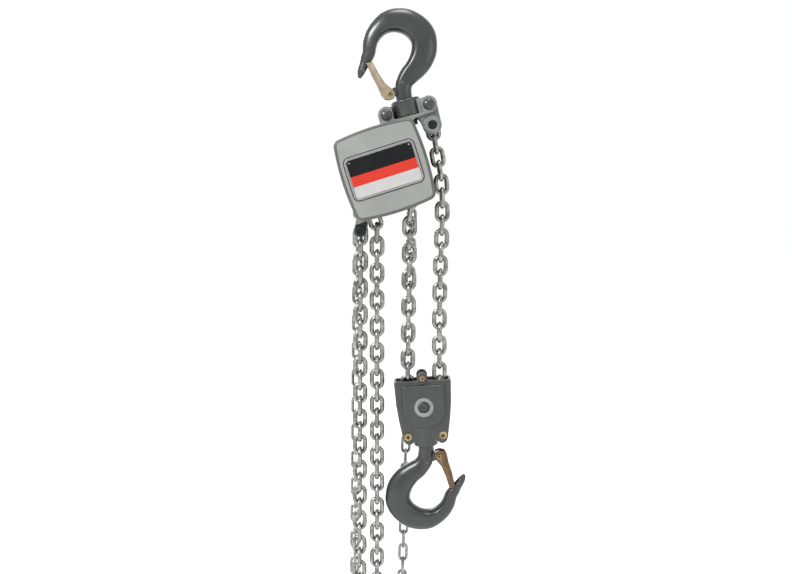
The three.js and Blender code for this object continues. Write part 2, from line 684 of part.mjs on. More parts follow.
// Load brake: hub, lining, ratchet, lining, against the hand wheel
const onShaft = boreRadius(shaftRadius);
const hubBack = plateFront + runningGap * 2 + brakeHub.flange;
const liningEnd = hubBack + seatGap + frictionDisc.thickness;
const ratchetEnd = liningEnd + seatGap + ratchet.thickness;
const outerLiningEnd = ratchetEnd + seatGap + frictionDisc.thickness;
addBodyPiece('brake_hub', turnedY([
  [onShaft, hubBack - brakeHub.flange], [brakeHub.radius, hubBack - brakeHub.flange],
  [brakeHub.radius, hubBack], [brakeHub.hubRadius, hubBack],
  [brakeHub.hubRadius, outerLiningEnd - seatGap], [onShaft, outerLiningEnd - seatGap],
  [onShaft, hubBack - brakeHub.flange],
], 12), finish.machined);
const onHub = boreRadius(brakeHub.hubRadius, 12);
addBodyPiece('friction_disc_inner',
  ringY(frictionDisc.radius, onHub, hubBack + seatGap, liningEnd), finish.lining);
addBodyPiece('friction_disc_outer',
  ringY(frictionDisc.radius, onHub, ratchetEnd + seatGap, outerLiningEnd), finish.lining);

const ratchetPoints = [];
for (let i = 0; i < ratchet.teeth; i += 1) {
  const angle = 2 * Math.PI * i / ratchet.teeth;
  ratchetPoints.push([ratchet.root * Math.cos(angle), ratchet.root * Math.sin(angle)]);
  ratchetPoints.push([ratchet.outer * Math.cos(angle), ratchet.outer * Math.sin(angle)]);
}
addBodyPiece('ratchet_disc', cut(
  plate(outline(ratchetPoints), liningEnd + seatGap, ratchetEnd),
  rodY(onHub, liningEnd - cutOverrun, ratchetEnd + cutOverrun, 0, 0, 12),
), finish.blackSteel);

// Pawls: each leans into a tooth and turns on its own pin in the rear plate
[1, -1].forEach((side, i) => {
  const face = side * Math.PI / 2 - pawl.tipLag;
  const [x, z] = pawlPlaces[i];
  const tipLow = [(ratchet.root + runningGap) * Math.cos(face), (ratchet.root + runningGap) * Math.sin(face)];
  const tipReach = ratchet.outer + runningGap;
  const tipHigh = [tipReach * Math.cos(face), tipReach * Math.sin(face)];
  const length = Math.hypot(tipLow[0] - x, tipLow[1] - z);
  const normal = [(tipLow[1] - z) / length, (x - tipLow[0]) / length];
  const rim = direction => [
    x + direction * pawl.hubRadius * normal[0], z + direction * pawl.hubRadius * normal[1],
  ];
  const finger = outline([tipLow, tipHigh, rim(1), rim(-1)]);
  const front = liningEnd + seatGap;
  addBodyPiece(['pawl_upper', 'pawl_lower'][i], join(
    plate(finger, front, front + ratchet.thickness),
    rodY(pawl.hubRadius, front, front + ratchet.thickness, x, z),
    rodY(pawl.pinRadius, plateBack + seatGap, front + pawl.width, x, z, 12),
  ), finish.blackSteel);
});

// Hand wheel, its nut and the cover round them
const handPhase = handFirstVertex + 3 * Math.PI / (2 * handWheel.pockets) - bodyTilt;
addBodyPiece('hand_wheel', cut(
  join(
    pocketWheel(handChain, handWheel.pockets, handPhase, handWheel.flange)
      .translate([0, handWheel.plane, 0]),
    rodY(handWheel.hubRadius, outerLiningEnd + seatGap, wheelBack, 0, 0, 12),
  ),
  rodY(onShaft, outerLiningEnd - cutOverrun, wheelBack + cutOverrun),
), finish.darkPaint);
addBodyPiece('hand_wheel_nut', cut(
  plate(hexagon(wheelNut.radius), wheelBack + seatGap, wheelBack + wheelNut.height),
  rodY(onShaft, wheelBack - cutOverrun, wheelBack + wheelNut.height + cutOverrun),
), finish.zinc);

const coverBack = handWheel.plane + handWheel.width / 2 + wheelNut.height + wheelCover.nutRoom
  + wheelCover.wall;
const wheelInside = wheelCover.halfSize - wheelCover.wall;
const chainRoom = handChain.width / 2 + 2 * cutOverrun;
addBodyPiece('hand_wheel_cover', cut(
  plate(roundedRectangle(wheelCover.halfSize, wheelCover.halfSize - wheelCover.squat, wheelCover.corner),
    plateFront + seatGap, coverBack),
  plate(roundedRectangle(wheelInside, wheelInside - wheelCover.squat, wheelCover.corner - wheelCover.wall),
    plateFront, coverBack - wheelCover.wall, 2),
  block(-2 * wheelCover.halfSize, wheelInside - wheelCover.corner / 2,
    handWheel.plane - chainRoom, handWheel.plane + chainRoom,
    -2 * wheelCover.halfSize, -wheelCover.mouthTop),
  block(-2 * wheelCover.halfSize, -wheelInside + wheelCover.wall,
    handWheel.plane - chainRoom, handWheel.plane + chainRoom,
    -wheelCover.halfSize, wheelCover.mouthLeft),
), finish.darkPaint);

// Guide that leads the slack chain off the sheave and out below
const linkRoom = loadChain.width / 2 + runningGap;
addBodyPiece('chain_guide', cut(
  block(guide.x - linkRoom - guide.wall, guide.x + linkRoom + guide.wall, -plateBack + seatGap,
    plateBack - seatGap, guide.bottom, guide.top),
  block(guide.x - linkRoom, guide.x + linkRoom, -linkRoom, linkRoom,
    guide.bottom - cutOverrun, guide.top + cutOverrun),
), finish.blackSteel);

// Slack end: its bolt in the lug below the body
function headedBolt(radius, headRadius, front, back, headHeight, x = 0, z = 0) {
  return turnedY([
    [0, front - headHeight], [headRadius, front - headHeight], [headRadius, front], [radius, front],
    [radius, back], [headRadius, back], [headRadius, back + headHeight], [0, back + headHeight],
  ], 8, x, z);
}
addBodyPiece('slack_anchor_bolt', headedBolt(anchorPinRadius, slackLug.headRadius,
  -plateFront - seatGap, plateFront + seatGap, stayBolt.headHeight, slackLug.x, slackLug.z),
finish.blackSteel);

// Chain anchor arm: two cheeks under the drum and a boss round the anchor pin
function anchorArm() {
  const outer = plateBack - seatGap;
  const inner = outer - armCheek;
  const reach = earRadius;
  const bowlStart = { x: anchorBoss.x - anchorBoss.radius, z: anchorBoss.z };
  const under = yokeInBody.z - yokeDrum.height / 2 - runningGap * 2;
  const shape = new THREE.Shape();
  shape.moveTo(yokeInBody.x + reach / 2, under - reach / 3);
  shape.quadraticCurveTo(bowlStart.x - seatGap, under - reach / 2, bowlStart.x, bowlStart.z);
  shape.absarc(anchorBoss.x, anchorBoss.z, anchorBoss.radius, Math.PI, 2 * Math.PI);
  shape.lineTo(rightPin.x + reach, rightPin.z);
  shape.absarc(rightPin.x, rightPin.z, reach, 0, Math.PI / 2);
  shape.lineTo(yokeInBody.x + reach / 2, rightPin.z + reach);
  shape.closePath();
  const lugLow = rightPin.z - yokeLug.radius - runningGap;
  const linkTop = anchorBoss.z + loadChain.pitch / 2 + loadChain.ridge;
  const bossFront = -plateFront - seatGap;
  return cut(
    join(
      plate(shape, -outer, -inner),
      plate(shape, inner, outer),
      block(rightPin.x - reach, rightPin.x + reach / 2, -outer, outer, linkTop, lugLow),
      rodY(anchorBoss.radius, bossFront, -inner, anchorBoss.x, anchorBoss.z, 16),
    ),
    drumClear,
    boreY(yokePin.radius, -2 * outer, 2 * outer, rightPin.x, rightPin.z, 10),
    boreY(anchorPinRadius, -2 * outer, 2 * outer, anchorBoss.x, anchorBoss.z),
    rodY(anchorBoss.recess, bossFront - cutOverrun, bossFront + anchorBoss.recessDepth,
      anchorBoss.x, anchorBoss.z, 14),
  );
}
addBodyPiece('chain_anchor_arm', anchorArm(), finish.platePaint);
const recessFloor = -plateFront - seatGap + anchorBoss.recessDepth;
addBodyPiece('anchor_pin', join(
  rodY(anchorPinRadius, recessFloor - seatGap * 2, plateBack, anchorBoss.x, anchorBoss.z, 12),
  rodY(anchorBoss.recess - seatGap, recessFloor - anchorBoss.headHeight, recessFloor - seatGap,
    anchorBoss.x, anchorBoss.z),
), finish.blackSteel);

// Yoke: a drum round the hook's shank with lugs to its two pins
const drumHalf = yokeDrum.height / 2;
addPiece('hook_yoke', cut(
  join(
    turnedZ([
      [0, -drumHalf], [yokeDrum.radius - yokeDrum.rim, -drumHalf], [yokeDrum.radius, yokeDrum.rim - drumHalf],
      [yokeDrum.radius, drumHalf - yokeDrum.rim], [yokeDrum.radius - yokeDrum.rim, drumHalf], [0, drumHalf],
    ], 20),
    plate(capsule(-yokePin.offset, -yokePin.drop, yokePin.offset, -yokePin.drop, yokeLug.radius),
      -yokeLug.halfWidth, yokeLug.halfWidth),
    rodY(yokeLug.radius, seatGap - plateBack, plateBack - seatGap, -yokePin.offset, -yokePin.drop),
  ),
  ...[-1, 1].map(side => boreY(yokePin.radius, -plateSpan, plateSpan,
    side * yokePin.offset, -yokePin.drop, 10)),
  rodZ(boreRadius(shankRadius, 10), -yokeDrum.height, yokeDrum.height, 10),
), finish.darkPaint, yokePlace, yokeTilt);

['yoke_pin_left', 'yoke_pin_right'].forEach((name, i) => {
  const seat = plateFront + seatGap;
  const half = yokeDomeShares.map(([share, rise]) =>
    [yokePin.headRadius * share, seat + yokePin.headRise * rise]);
  const profile = [
    ...half.map(([radius, y]) => [radius, -y]),
    [yokePin.radius, -seat], [yokePin.radius, seat],
    ...half.reverse(),
  ];
  addBodyPiece(name, turnedY(profile, 10, pinsInBody[i].x, pinsInBody[i].z), finish.darkPaint);
});

// Hook forging, in a frame whose origin is the centre of its bowl and whose Z
// points from the shank to the saddle
function hookSolid(neckEnd, shankEnd) {
  const sections = hookStationShares.map(([inX, inZ, outX, outZ, thick], i) => {
    const round = Math.max(0, 1 - i / 2);
    return hookSectionShares.map(([forgedDepth, forgedHalf], k) => {
      const angle = (k + 0.5) * Math.PI / 4;
      const depth = THREE.MathUtils.lerp(forgedDepth, (1 - Math.cos(angle)) / 2, round);
      const half = THREE.MathUtils.lerp(forgedHalf, Math.sin(angle), round);
      return [
        bowlRadius * THREE.MathUtils.lerp(inX, outX, depth),
        bowlRadius * thick * half / 2,
        bowlRadius * THREE.MathUtils.lerp(inZ, outZ, depth),
      ];
    });
  });
  const ringSize = hookSectionShares.length;
  const positions = sections.flat(2);
  const indices = [];
  for (let i = 0; i < sections.length - 1; i += 1) {
    for (let k = 0; k < ringSize; k += 1) {
      const a = i * ringSize + k;
      const b = i * ringSize + (k + 1) % ringSize;
      indices.push(a, b, b + ringSize, a, b + ringSize, a + ringSize);
    }
  }
  const last = (sections.length - 1) * ringSize;
  for (let k = 1; k < ringSize - 1; k += 1) {
    indices.push(0, k + 1, k, last, last + k, last + k + 1);
  }
  const geometry = new THREE.BufferGeometry();
  geometry.setAttribute('position', new THREE.Float32BufferAttribute(positions, 3));
  geometry.setIndex(indices);
  const [pivotX, pivotZ] = latchPivotShares.map(share => share * bowlRadius);
  const neckTop = bowlRadius * hookStationShares[0][1];
  const shank = turnedZ([
    [0, -shankEnd], [shankRadius, -shankEnd], [shankRadius, -neckEnd], [shankShoulder, -neckEnd],
    [shankShoulder, neckTop + cutOverrun], [0, neckTop + cutOverrun],
  ], 10).translate([-hookAxisOffset, 0, 0]);
  return cut(
    join(
      toSolid(geometry),
      shank,
      plate(capsule(-shankShoulder, pivotZ + latch.lug / 2, pivotX, pivotZ, latch.lug),
        -latch.lugHalf, latch.lugHalf),
    ),
    boreY(latch.pin, -bowlRadius, bowlRadius, pivotX, pivotZ),
  );
}

// Latch: a channel that straddles the lug and the tip of the hook
function latchSolid() {
  const shape = shares => outline(shares.map(([x, z]) => [x * bowlRadius, z * bowlRadius]));
  const inside = latch.lugHalf + runningGap;
  const [pivotX, pivotZ] = latchPivotShares.map(share => share * bowlRadius);
  return cut(
    plate(shape(latchOutlineShares), -inside - latch.wall, inside + latch.wall),
    plate(shape(latchPocketShares), -inside, inside),
    boreY(latch.pin, -bowlRadius, bowlRadius, pivotX, pivotZ),
  );
}

const bowlBottom = fromFrame(blockPlace, blockTilt, -hookAxisOffset, -blockHookReach);
const nutTopInYoke = -yokePin.drop - yokeLug.radius - seatGap;
const hookSets = [
  {
    prefix: 'top', place: bowlTop, angle: yokeTilt,
    neckEnd: topHookReach - drumHalf - seatGap,
    nutEnd: topHookReach - nutTopInYoke,
  },
  {
    prefix: 'bottom', place: bowlBottom, angle: blockTilt + Math.PI,
    neckEnd: blockHookReach - blockNeck.bottom - seatGap,
    nutEnd: blockHookReach - blockNeck.nutFloor + seatGap,
  },
];
hookSets.forEach(({ prefix, place, angle, neckEnd, nutEnd }) => {
  const shankEnd = nutEnd + hookNut.height + seatGap;
  const [pivotX, pivotZ] = latchPivotShares.map(share => share * bowlRadius);
  addPiece(`${prefix}_hook`, hookSolid(neckEnd, shankEnd), finish.darkPaint, place, angle);
  addPiece(`${prefix}_hook_nut`, cut(
    rodZ(hookNut.radius, -nutEnd - hookNut.height, -nutEnd, 10),
    rodZ(boreRadius(shankRadius, 10), -2 * shankEnd, 0, 10),
  ).translate([-hookAxisOffset, 0, 0]), finish.machined, place, angle);
  addPiece(`${prefix}_latch`, latchSolid(), finish.latchGold, place, angle);
  const seat = latch.lugHalf + runningGap + latch.wall + seatGap;
  addPiece(`${prefix}_latch_bolt`,
    headedBolt(latch.pin, latch.headRadius, -seat, seat, latch.headHeight, pivotX, pivotZ),
    finish.brass, place, angle);
});

// Bottom block, in its own frame round the axle
const sideFace = blockHalfDepth + blockFaceRise;
const idleApothem = wheelRadius(loadChain, idlePockets) * Math.cos(Math.PI / (2 * idlePockets));
const idleWall = linkRoom + sheaveFlange;
const chainReach = wheelRadius(loadChain, idlePockets) + linkRoom;
function blockShell() {
  const side = blockSideShares.map(([x, z]) => [x * blockHalfWidth, z * blockTop]);
  const mirrored = side.map(([x, z]) => [-x, z]).reverse();
  const face = new THREE.Shape();
  face.absarc(0, 0, blockFaceRadius, Math.PI, 2 * Math.PI);
  face.lineTo(blockFaceRadius, blockTop - blockFaceDrop);
  face.lineTo(-blockFaceRadius, blockTop - blockFaceDrop);
  face.closePath();
  const through = 2 * sideFace;
  const lugs = [-1, 1].map(end =>
    rodY(blockBolt.lug, -blockHalfDepth, blockHalfDepth, end * blockBolt.x, blockBolt.z));
  const washer = sideFace + blockAxle.washerRise;
  const hollow = cut(
    join(
      plate(outline([...side, ...mirrored]), -blockHalfDepth, blockHalfDepth),
      plate(face, -sideFace, sideFace, 8),
      rodY(blockAxle.washer, -washer, washer, 0, 0, 16),
      ...lugs,
      rodZ(blockNeck.radius, -blockNeck.bottom, -blockFaceRadius, 16),
    ),
    rodY(chainReach + runningGap, -blockHalfDepth + blockWall, blockHalfDepth - blockWall, 0, 0, 20),
    rodY(blockFaceRadius - blockWall * 3, -sideFace + blockWall, sideFace - blockWall, 0, 0, 16),
    block(-blockHalfWidth + blockWall * 2, blockHalfWidth - blockWall * 2, -linkRoom - runningGap,
      linkRoom + runningGap, 0, blockTop + cutOverrun),
    rodZ(boreRadius(hookNut.radius, 10), -blockNeck.nutFloor, -blockNeck.nutTop, 10),
    rodZ(boreRadius(shankRadius, 10), -blockNeck.bottom - cutOverrun, -blockNeck.nutTop, 10),
  );
  return cut(
    join(hollow, rodY(blockTopBolt.lug, -blockHalfDepth, blockHalfDepth, 0, blockTopBolt.z)),
    boreY(blockAxle.radius, -through, through, 0, 0),
    ...[[-blockBolt.x, blockBolt.z], [blockBolt.x, blockBolt.z], [0, blockTopBolt.z]].map(([x, z]) =>
      boreY(blockBolt.radius, -through, through, x, z)),
  );
}
const addBlockPiece = (name, solid, material) => addPiece(name, solid, material, blockPlace, blockTilt);
const shellReach = 2 * blockNeck.bottom;
const wholeShell = blockShell();
addBlockPiece('block_front_half', cut(wholeShell,
  block(-shellReach, shellReach, -seatGap / 2, shellReach, -shellReach, shellReach)), finish.darkPaint);
addBlockPiece('block_rear_half', cut(wholeShell,
  block(-shellReach, shellReach, -shellReach, seatGap / 2, -shellReach, shellReach)), finish.darkPaint);
[
  ['block_bolt_left', -blockBolt.x, blockBolt.z, blockBolt.headRadius],
  ['block_bolt_right', blockBolt.x, blockBolt.z, blockBolt.headRadius],
  ['block_top_bolt', 0, blockTopBolt.z, blockTopBolt.headRadius],
].forEach(([name, x, z, headRadius]) => {
  const seat = blockHalfDepth + seatGap;
  addBlockPiece(name, headedBolt(blockBolt.radius, headRadius, -seat, seat, blockBolt.headHeight, x, z),
    finish.brass);
});
addBlockPiece('block_axle', rodY(blockAxle.radius, -sideFace, sideFace), finish.blackSteel);

const idleSeat = idleApothem - linkHalfThickness(loadChain) - seatGap;
const idleSlot = idleApothem - linkRoom;
const idleHalfSlot = linkHalfThickness(loadChain) + runningGap;
const idleRim = idleApothem + loadChain.ridge + sheaveFlange;
const idleBore = boreRadius(blockAxle.radius, 16);
addBlockPiece('idle_sheave', turnedY([
  [idleBore, -idleWall], [idleRim, -idleWall], [idleRim, -linkRoom], [idleSeat, -linkRoom],
  [idleSeat, -idleHalfSlot], [idleSlot, -idleHalfSlot], [idleSlot, idleHalfSlot],
  [idleSeat, idleHalfSlot], [idleSeat, linkRoom], [idleRim, linkRoom], [idleRim, idleWall],
  [idleBore, idleWall], [idleBore, -idleWall],
], 16), finish.machined);

// Load chain: anchor, round the block, over the sheave, down to the slack anchor.
// A run round a wheel or a loop takes in the nearest straight links of each fall.
const sheaveJoints = wheelJoints(loadChain, sheavePockets, shaftPlace, sheaveFirstVertex, sheavePockets);
const idleJoints = wheelJoints(loadChain, idlePockets, blockPlace, Math.PI, idlePockets);
const pinToJoint = anchorPinRadius + seatGap - runningGap / 2;
const anchorPlace = fromFrame(shaftPlace, bodyTilt, anchorBoss.x, anchorBoss.z);
const slackPlace = fromFrame(shaftPlace, bodyTilt, slackLug.x, slackLug.z);
const deadStart = { x: anchorPlace.x - pinToJoint * deadLeanShare, z: anchorPlace.z + pinToJoint };
const deadEnd = idleJoints[idlePockets];
const deadRoute = deadBulgeShares.map(([along, bulge]) => ({
  x: deadStart.x + (deadEnd.x - deadStart.x) * along + deadBulge * bulge,
  z: deadStart.z + (deadEnd.z - deadStart.z) * along,
}));
const deadFall = curveJoints(deadRoute, deadFallLinks);
const liveFall = straightJoints(sheaveJoints[0], idleJoints[0], liveFallLinks);
const slackFall = [
  ...straightJoints(sheaveJoints[sheavePockets], guideExit, guideLinks),
  ...straightJoints(guideExit, slackBottom, slackFallLinks).slice(1),
];
const slackEnd = straightJoints(
  { x: slackPlace.x, z: slackPlace.z + pinToJoint }, slackEndBottom, slackEndLinks);
const slackLoop = loopJoints(slackBottom, slackEndBottom, slackLoopDepth, slackLoopLinks);

const beforeLast = run => run[run.length - 2];
layChain('load_chain_dead_fall', loadChain, deadFall.slice(0, -1), true);
layChain('load_chain_on_idle_sheave', loadChain,
  [beforeLast(liveFall), ...idleJoints, beforeLast(deadFall)], false);
layChain('load_chain_live_fall', loadChain, liveFall.slice(2, -1), true);
layChain('load_chain_on_load_sheave', loadChain,
  [liveFall[2], liveFall[1], ...sheaveJoints, slackFall[1]], false);
layChain('load_chain_slack_fall', loadChain, slackFall.slice(1, -1), true);
layChain('load_chain_slack_loop', loadChain,
  [beforeLast(slackFall), ...slackLoop, beforeLast(slackEnd)], true);
layChain('load_chain_slack_end', loadChain, slackEnd.slice(0, -1), true);

// Hand chain: an endless loop over the hand wheel
const handJoints = wheelJoints(handChain, handWheel.pockets, shaftPlace, handFirstVertex, handWheel.pockets);
const handRight = straightJoints(handJoints[0], handRightBottom, handFallLinks);
const handLeft = straightJoints(handJoints[handWheel.pockets], handLeftBottom, handFallLinks);
const handLoop = loopJoints(handRightBottom, handLeftBottom, handLoopDepth, handLoopLinks);
const { plane: handPlane } = handWheel;
layChain('hand_chain_on_wheel', handChain,
  [handRight[1], ...handJoints, handLeft[1], handLeft[2]], false, handPlane);
layChain('hand_chain_right_fall', handChain, handRight.slice(1, -1), true, handPlane);
layChain('hand_chain_left_fall', handChain, handLeft.slice(2, -1), true, handPlane);
layChain('hand_chain_loop', handChain,
  [beforeLast(handRight), ...handLoop, beforeLast(handLeft)], false, handPlane);

export default hoist;
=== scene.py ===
import json
import math

import bmesh
import bpy
from mathutils import Matrix, Vector


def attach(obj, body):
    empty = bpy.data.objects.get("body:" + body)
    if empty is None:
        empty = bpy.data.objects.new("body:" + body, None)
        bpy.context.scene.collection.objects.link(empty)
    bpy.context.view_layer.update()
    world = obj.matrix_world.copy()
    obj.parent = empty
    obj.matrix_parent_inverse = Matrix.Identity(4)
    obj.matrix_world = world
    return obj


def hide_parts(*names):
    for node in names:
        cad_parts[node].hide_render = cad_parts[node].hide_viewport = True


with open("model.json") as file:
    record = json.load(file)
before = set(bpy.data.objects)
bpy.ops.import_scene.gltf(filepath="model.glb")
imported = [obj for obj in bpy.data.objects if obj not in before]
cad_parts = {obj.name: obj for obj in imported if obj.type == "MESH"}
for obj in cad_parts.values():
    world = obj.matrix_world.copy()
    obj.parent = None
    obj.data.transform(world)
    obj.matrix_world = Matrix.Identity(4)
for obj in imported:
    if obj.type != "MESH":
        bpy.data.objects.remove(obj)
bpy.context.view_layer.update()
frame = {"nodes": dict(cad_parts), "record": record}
cadNodes = frame["nodes"]
print("frame loaded:", len(cadNodes), "nodes")

# Lengths below are in millimetres, in the front view: X right, Z up, Y to the back.
mm = 0.001
mergeDistance = 0.0005

# Where each group hangs: its own origin in the front view, and its turn counter-clockwise
places = {
    "body": {"x": -13.6, "z": -209.0, "turn": 17.5},
    "yoke": {"x": 19.767, "z": -114.116, "turn": 14.5},
    "block": {"x": 47.3, "z": -581.0, "turn": 3.5},
    "topHook": {"x": 0.0, "z": -27.3, "turn": 14.5},
    "bottomHook": {"x": 53.679, "z": -727.885, "turn": 183.5},
    "world": {"x": 0.0, "z": 0.0, "turn": 0.0},
}


def frameMatrix(name, scale=mm):
    place = places[name]
    turn = Matrix.Rotation(-math.radians(place["turn"]), 4, "Y")
    return Matrix.Translation((place["x"] * mm, 0, place["z"] * mm)) @ turn @ Matrix.Scale(scale, 4)


# Camera, studio and floor

cameraSettings = {
    "focalPixels": 948.0,
    "imageWidth": 792.0,
    "sensorWidth": 36.0,
    "x": 3.2,
    "y": -1486.0,
    "z": -215.1,
    "pitchDown": 6.8,
}


def makeCamera(s):
    data = bpy.data.cameras.new("photoCamera")
    data.sensor_fit = "HORIZONTAL"
    data.sensor_width = s["sensorWidth"]
    data.lens = s["focalPixels"] / s["imageWidth"] * s["sensorWidth"]
    data.clip_start = 0.05
    data.clip_end = 60.0
    camera = bpy.data.objects.new("photoCamera", data)
    camera.location = (s["x"] * mm, s["y"] * mm, s["z"] * mm)
    camera.rotation_euler = (math.radians(90 - s["pitchDown"]), 0, 0)
    bpy.context.scene.collection.objects.link(camera)
    bpy.context.scene.camera = camera


studioSettings = {
    "floorZ": -1.02,
    "floorSize": 14.0,
    "floorColour": (0.86, 0.86, 0.86, 1),
    "floorLift": 0.66,          # how much of its own white the floor shows to the lens
    "worldStrength": 0.4,
    "worldColour": (1.0, 1.0, 1.0, 1),
    "seenColour": (1, 1, 1, 1),
    "seenStrength": 1.0,
    "lamps": [
        # name, place, size, power, what it looks at
        ("keyLamp", (-1.5, -1.7, 1.0), 0.7, 40.0, (0.0, 0, -0.45)),
        ("topLamp", (0.1, -0.3, 1.5), 0.8, 12.0, (0.0, 0, -0.3)),
        ("fillLamp", (1.9, -1.4, -0.1), 1.3, 5.0, (0.0, 0, -0.5)),
        ("backLamp", (-0.7, 1.9, 0.5), 1.2, 14.0, (0.0, 0, -0.45)),
    ],
}


def feed(tree, socket, value):
    # Links a socket to another node's output, or sets its value
    if isinstance(value, bpy.types.NodeSocket):
        tree.links.new(value, socket)
    else:
        socket.default_value = value


def addNode(tree, kind, inputs=None, **attributes):
    made = tree.nodes.new(kind)
    for key, value in attributes.items():
        setattr(made, key, value)
    for key, value in (inputs or {}).items():
        feed(tree, made.inputs[key], value)
    return made


def emptiedTree(holder):
    holder.use_nodes = True
    holder.node_tree.nodes.clear()
    return holder.node_tree


def seenRays(tree):
    # 1 where a ray comes from the lens or from a mirror or a glass that shows the background
    path = addNode(tree, "ShaderNodeLightPath").outputs
    first = addNode(tree, "ShaderNodeMath", {0: path["Is Camera Ray"], 1: path["Is Glossy Ray"]},
                    operation="MAXIMUM")
    second = addNode(tree, "ShaderNodeMath", {0: first.outputs[0], 1: path["Is Transmission Ray"]},
                     operation="MAXIMUM")
    return second.outputs[0]


def makeStudio(s):
    world = bpy.data.worlds.new("studioWorld")
    bpy.context.scene.world = world
    tree = emptiedTree(world)
    light = addNode(tree, "ShaderNodeBackground",
                    {"Color": s["worldColour"], "Strength": s["worldStrength"]})
    seen = addNode(tree, "ShaderNodeBackground",
                   {"Color": s["seenColour"], "Strength": s["seenStrength"]})
    mix = addNode(tree, "ShaderNodeMixShader",
                  {0: seenRays(tree), 1: light.outputs[0], 2: seen.outputs[0]})
    addNode(tree, "ShaderNodeOutputWorld", {"Surface": mix.outputs[0]})
    for name, place, size, power, target in s["lamps"]:
        data = bpy.data.lights.new(name, "AREA")
        data.shape = "DISK"
        data.size = size
        data.energy = power
        lamp = bpy.data.objects.new(name, data)
        lamp.location = place
        lamp.rotation_euler = (Vector(target) - Vector(place)).to_track_quat("-Z", "Y").to_euler()
        bpy.context.scene.collection.objects.link(lamp)
    half = s["floorSize"] / 2
    corners = [(x * half, y * half, s["floorZ"]) for x, y in ((-1, -1), (1, -1), (1, 1), (-1, 1))]
    mesh = bpy.data.meshes.new("studioFloor")
    mesh.from_pydata(corners, [], [(0, 1, 2, 3)])
    floor = bpy.data.objects.new("studioFloor", mesh)
    bpy.context.scene.collection.objects.link(floor)
    material = bpy.data.materials.new("paleFloor")
    tree = emptiedTree(material)
    matte = addNode(tree, "ShaderNodeBsdfDiffuse", {"Color": s["floorColour"]})
    strength = addNode(tree, "ShaderNodeMath", {0: seenRays(tree), 1: s["floorLift"]},
                       operation="MULTIPLY")
    glow = addNode(tree, "ShaderNodeEmission", {"Strength": strength.outputs[0]})
    add = addNode(tree, "ShaderNodeAddShader", {0: matte.outputs[0], 1: glow.outputs[0]})
    addNode(tree, "ShaderNodeOutputMaterial", {"Surface": add.outputs[0]})
    mesh.materials.append(material)
    bpy.context.scene.view_settings.view_transform = "Standard"


makeCamera(cameraSettings)
makeStudio(studioSettings)
print("camera and studio made")


# Shapes are made as bmesh forms in millimetres, in their group's front view

def filleted(points, steps=4, closed=False):
    # Each point is (u, v, radius); a corner with a radius is rounded over
    made = []
    count = len(points)
    for i, (u, v, radius) in enumerate(points):
        if radius <= 0 or (not closed and i in (0, count - 1)):
            made.append((u, v))
            continue
        here = Vector((u, v))
        before = Vector(points[i - 1][:2]) - here
        after = Vector(points[(i + 1) % count][:2]) - here
        angle = before.angle(after)
        reach = min(radius / math.tan(angle / 2), 0.49 * min(before.length, after.length))
        start = here + before.normalized() * reach
        end = here + after.normalized() * reach
        for k in range(steps + 1):
            t = k / steps
            p = start * (1 - t) ** 2 + here * (2 * t * (1 - t)) + end * t ** 2
            made.append((p.x, p.y))
    return made


def arcPoints(x, z, radius, start, end, steps):
    # An arc in degrees, both ends included
    made = []
    for k in range(steps + 1):
        a = math.radians(start + (end - start) * k / steps)
        made.append((x + radius * math.cos(a), z + radius * math.sin(a)))
    return made


def capsuleOutline(x0, z0, x1, z1, radius, steps=14):
    lean = math.degrees(math.atan2(z1 - z0, x1 - x0))
    return (arcPoints(x1, z1, radius, lean - 90, lean + 90, steps)
            + arcPoints(x0, z0, radius, lean + 90, lean + 270, steps))


def roundedBox(halfWidth, halfHeight, corner, steps=8):
    x, z = halfWidth - corner, halfHeight - corner
    made = []
    for cx, cz, start in ((x, z, 0), (-x, z, 90), (-x, -z, 180), (x, -z, 270)):
        made += arcPoints(cx, cz, corner, start, start + 90, steps)
    return made


def signedArea(points):
    return sum(a[0] * b[1] - b[0] * a[1] for a, b in zip(points, points[1:] + points[:1])) / 2


def offsetOutline(points, distance):
    # Moves a closed outline inwards by distance
    if distance == 0:
        return list(points)
    sign = 1 if signedArea(points) > 0 else -1
    made = []
    count = len(points)
    for i, (x, z) in enumerate(points):
        here = Vector((x, z))
        edgeIn = here - Vector(points[i - 1])
        edgeOut = Vector(points[(i + 1) % count]) - here
        if edgeIn.length < 1e-6:
            edgeIn = edgeOut
        if edgeOut.length < 1e-6:
            edgeOut = edgeIn
        edgeIn.normalize()
        edgeOut.normalize()
        inward = Vector((-(edgeIn.y + edgeOut.y), edgeIn.x + edgeOut.x)) * sign
        inward.normalize()
        mitre = 1 / max(0.5, math.sqrt(max(0.0, (1 + edgeIn.dot(edgeOut)) / 2)))
        made.append(tuple(here + inward * distance * mitre))
    return made


def quarterTurn(steps, first=0):
    # What is left to go outwards and down at each step of a rounded rim
    turns = [math.pi / 2 * k / steps for k in range(first, steps + 1)]
    return [(1 - math.sin(a), 1 - math.cos(a)) for a in turns]


def tidied(form):
    bmesh.ops.remove_doubles(form, verts=form.verts, dist=mergeDistance)
    bmesh.ops.recalc_face_normals(form, faces=form.faces)
    return form


def loftedForm(rings, closed=False):
    # Rings of points, each with the same count, joined one to the next
    form = bmesh.new()
    made = [[form.verts.new(p) for p in ring] for ring in rings]
    pairs = list(zip(made, made[1:]))
    if closed:
        pairs.append((made[-1], made[0]))
    for a, b in pairs:
        count = len(a)
        for k in range(count):
            n = (k + 1) % count
            form.faces.new((a[k], a[n], b[n], b[k]))
    if not closed:
        form.faces.new(made[0])
        form.faces.new(made[-1])
    return tidied(form)


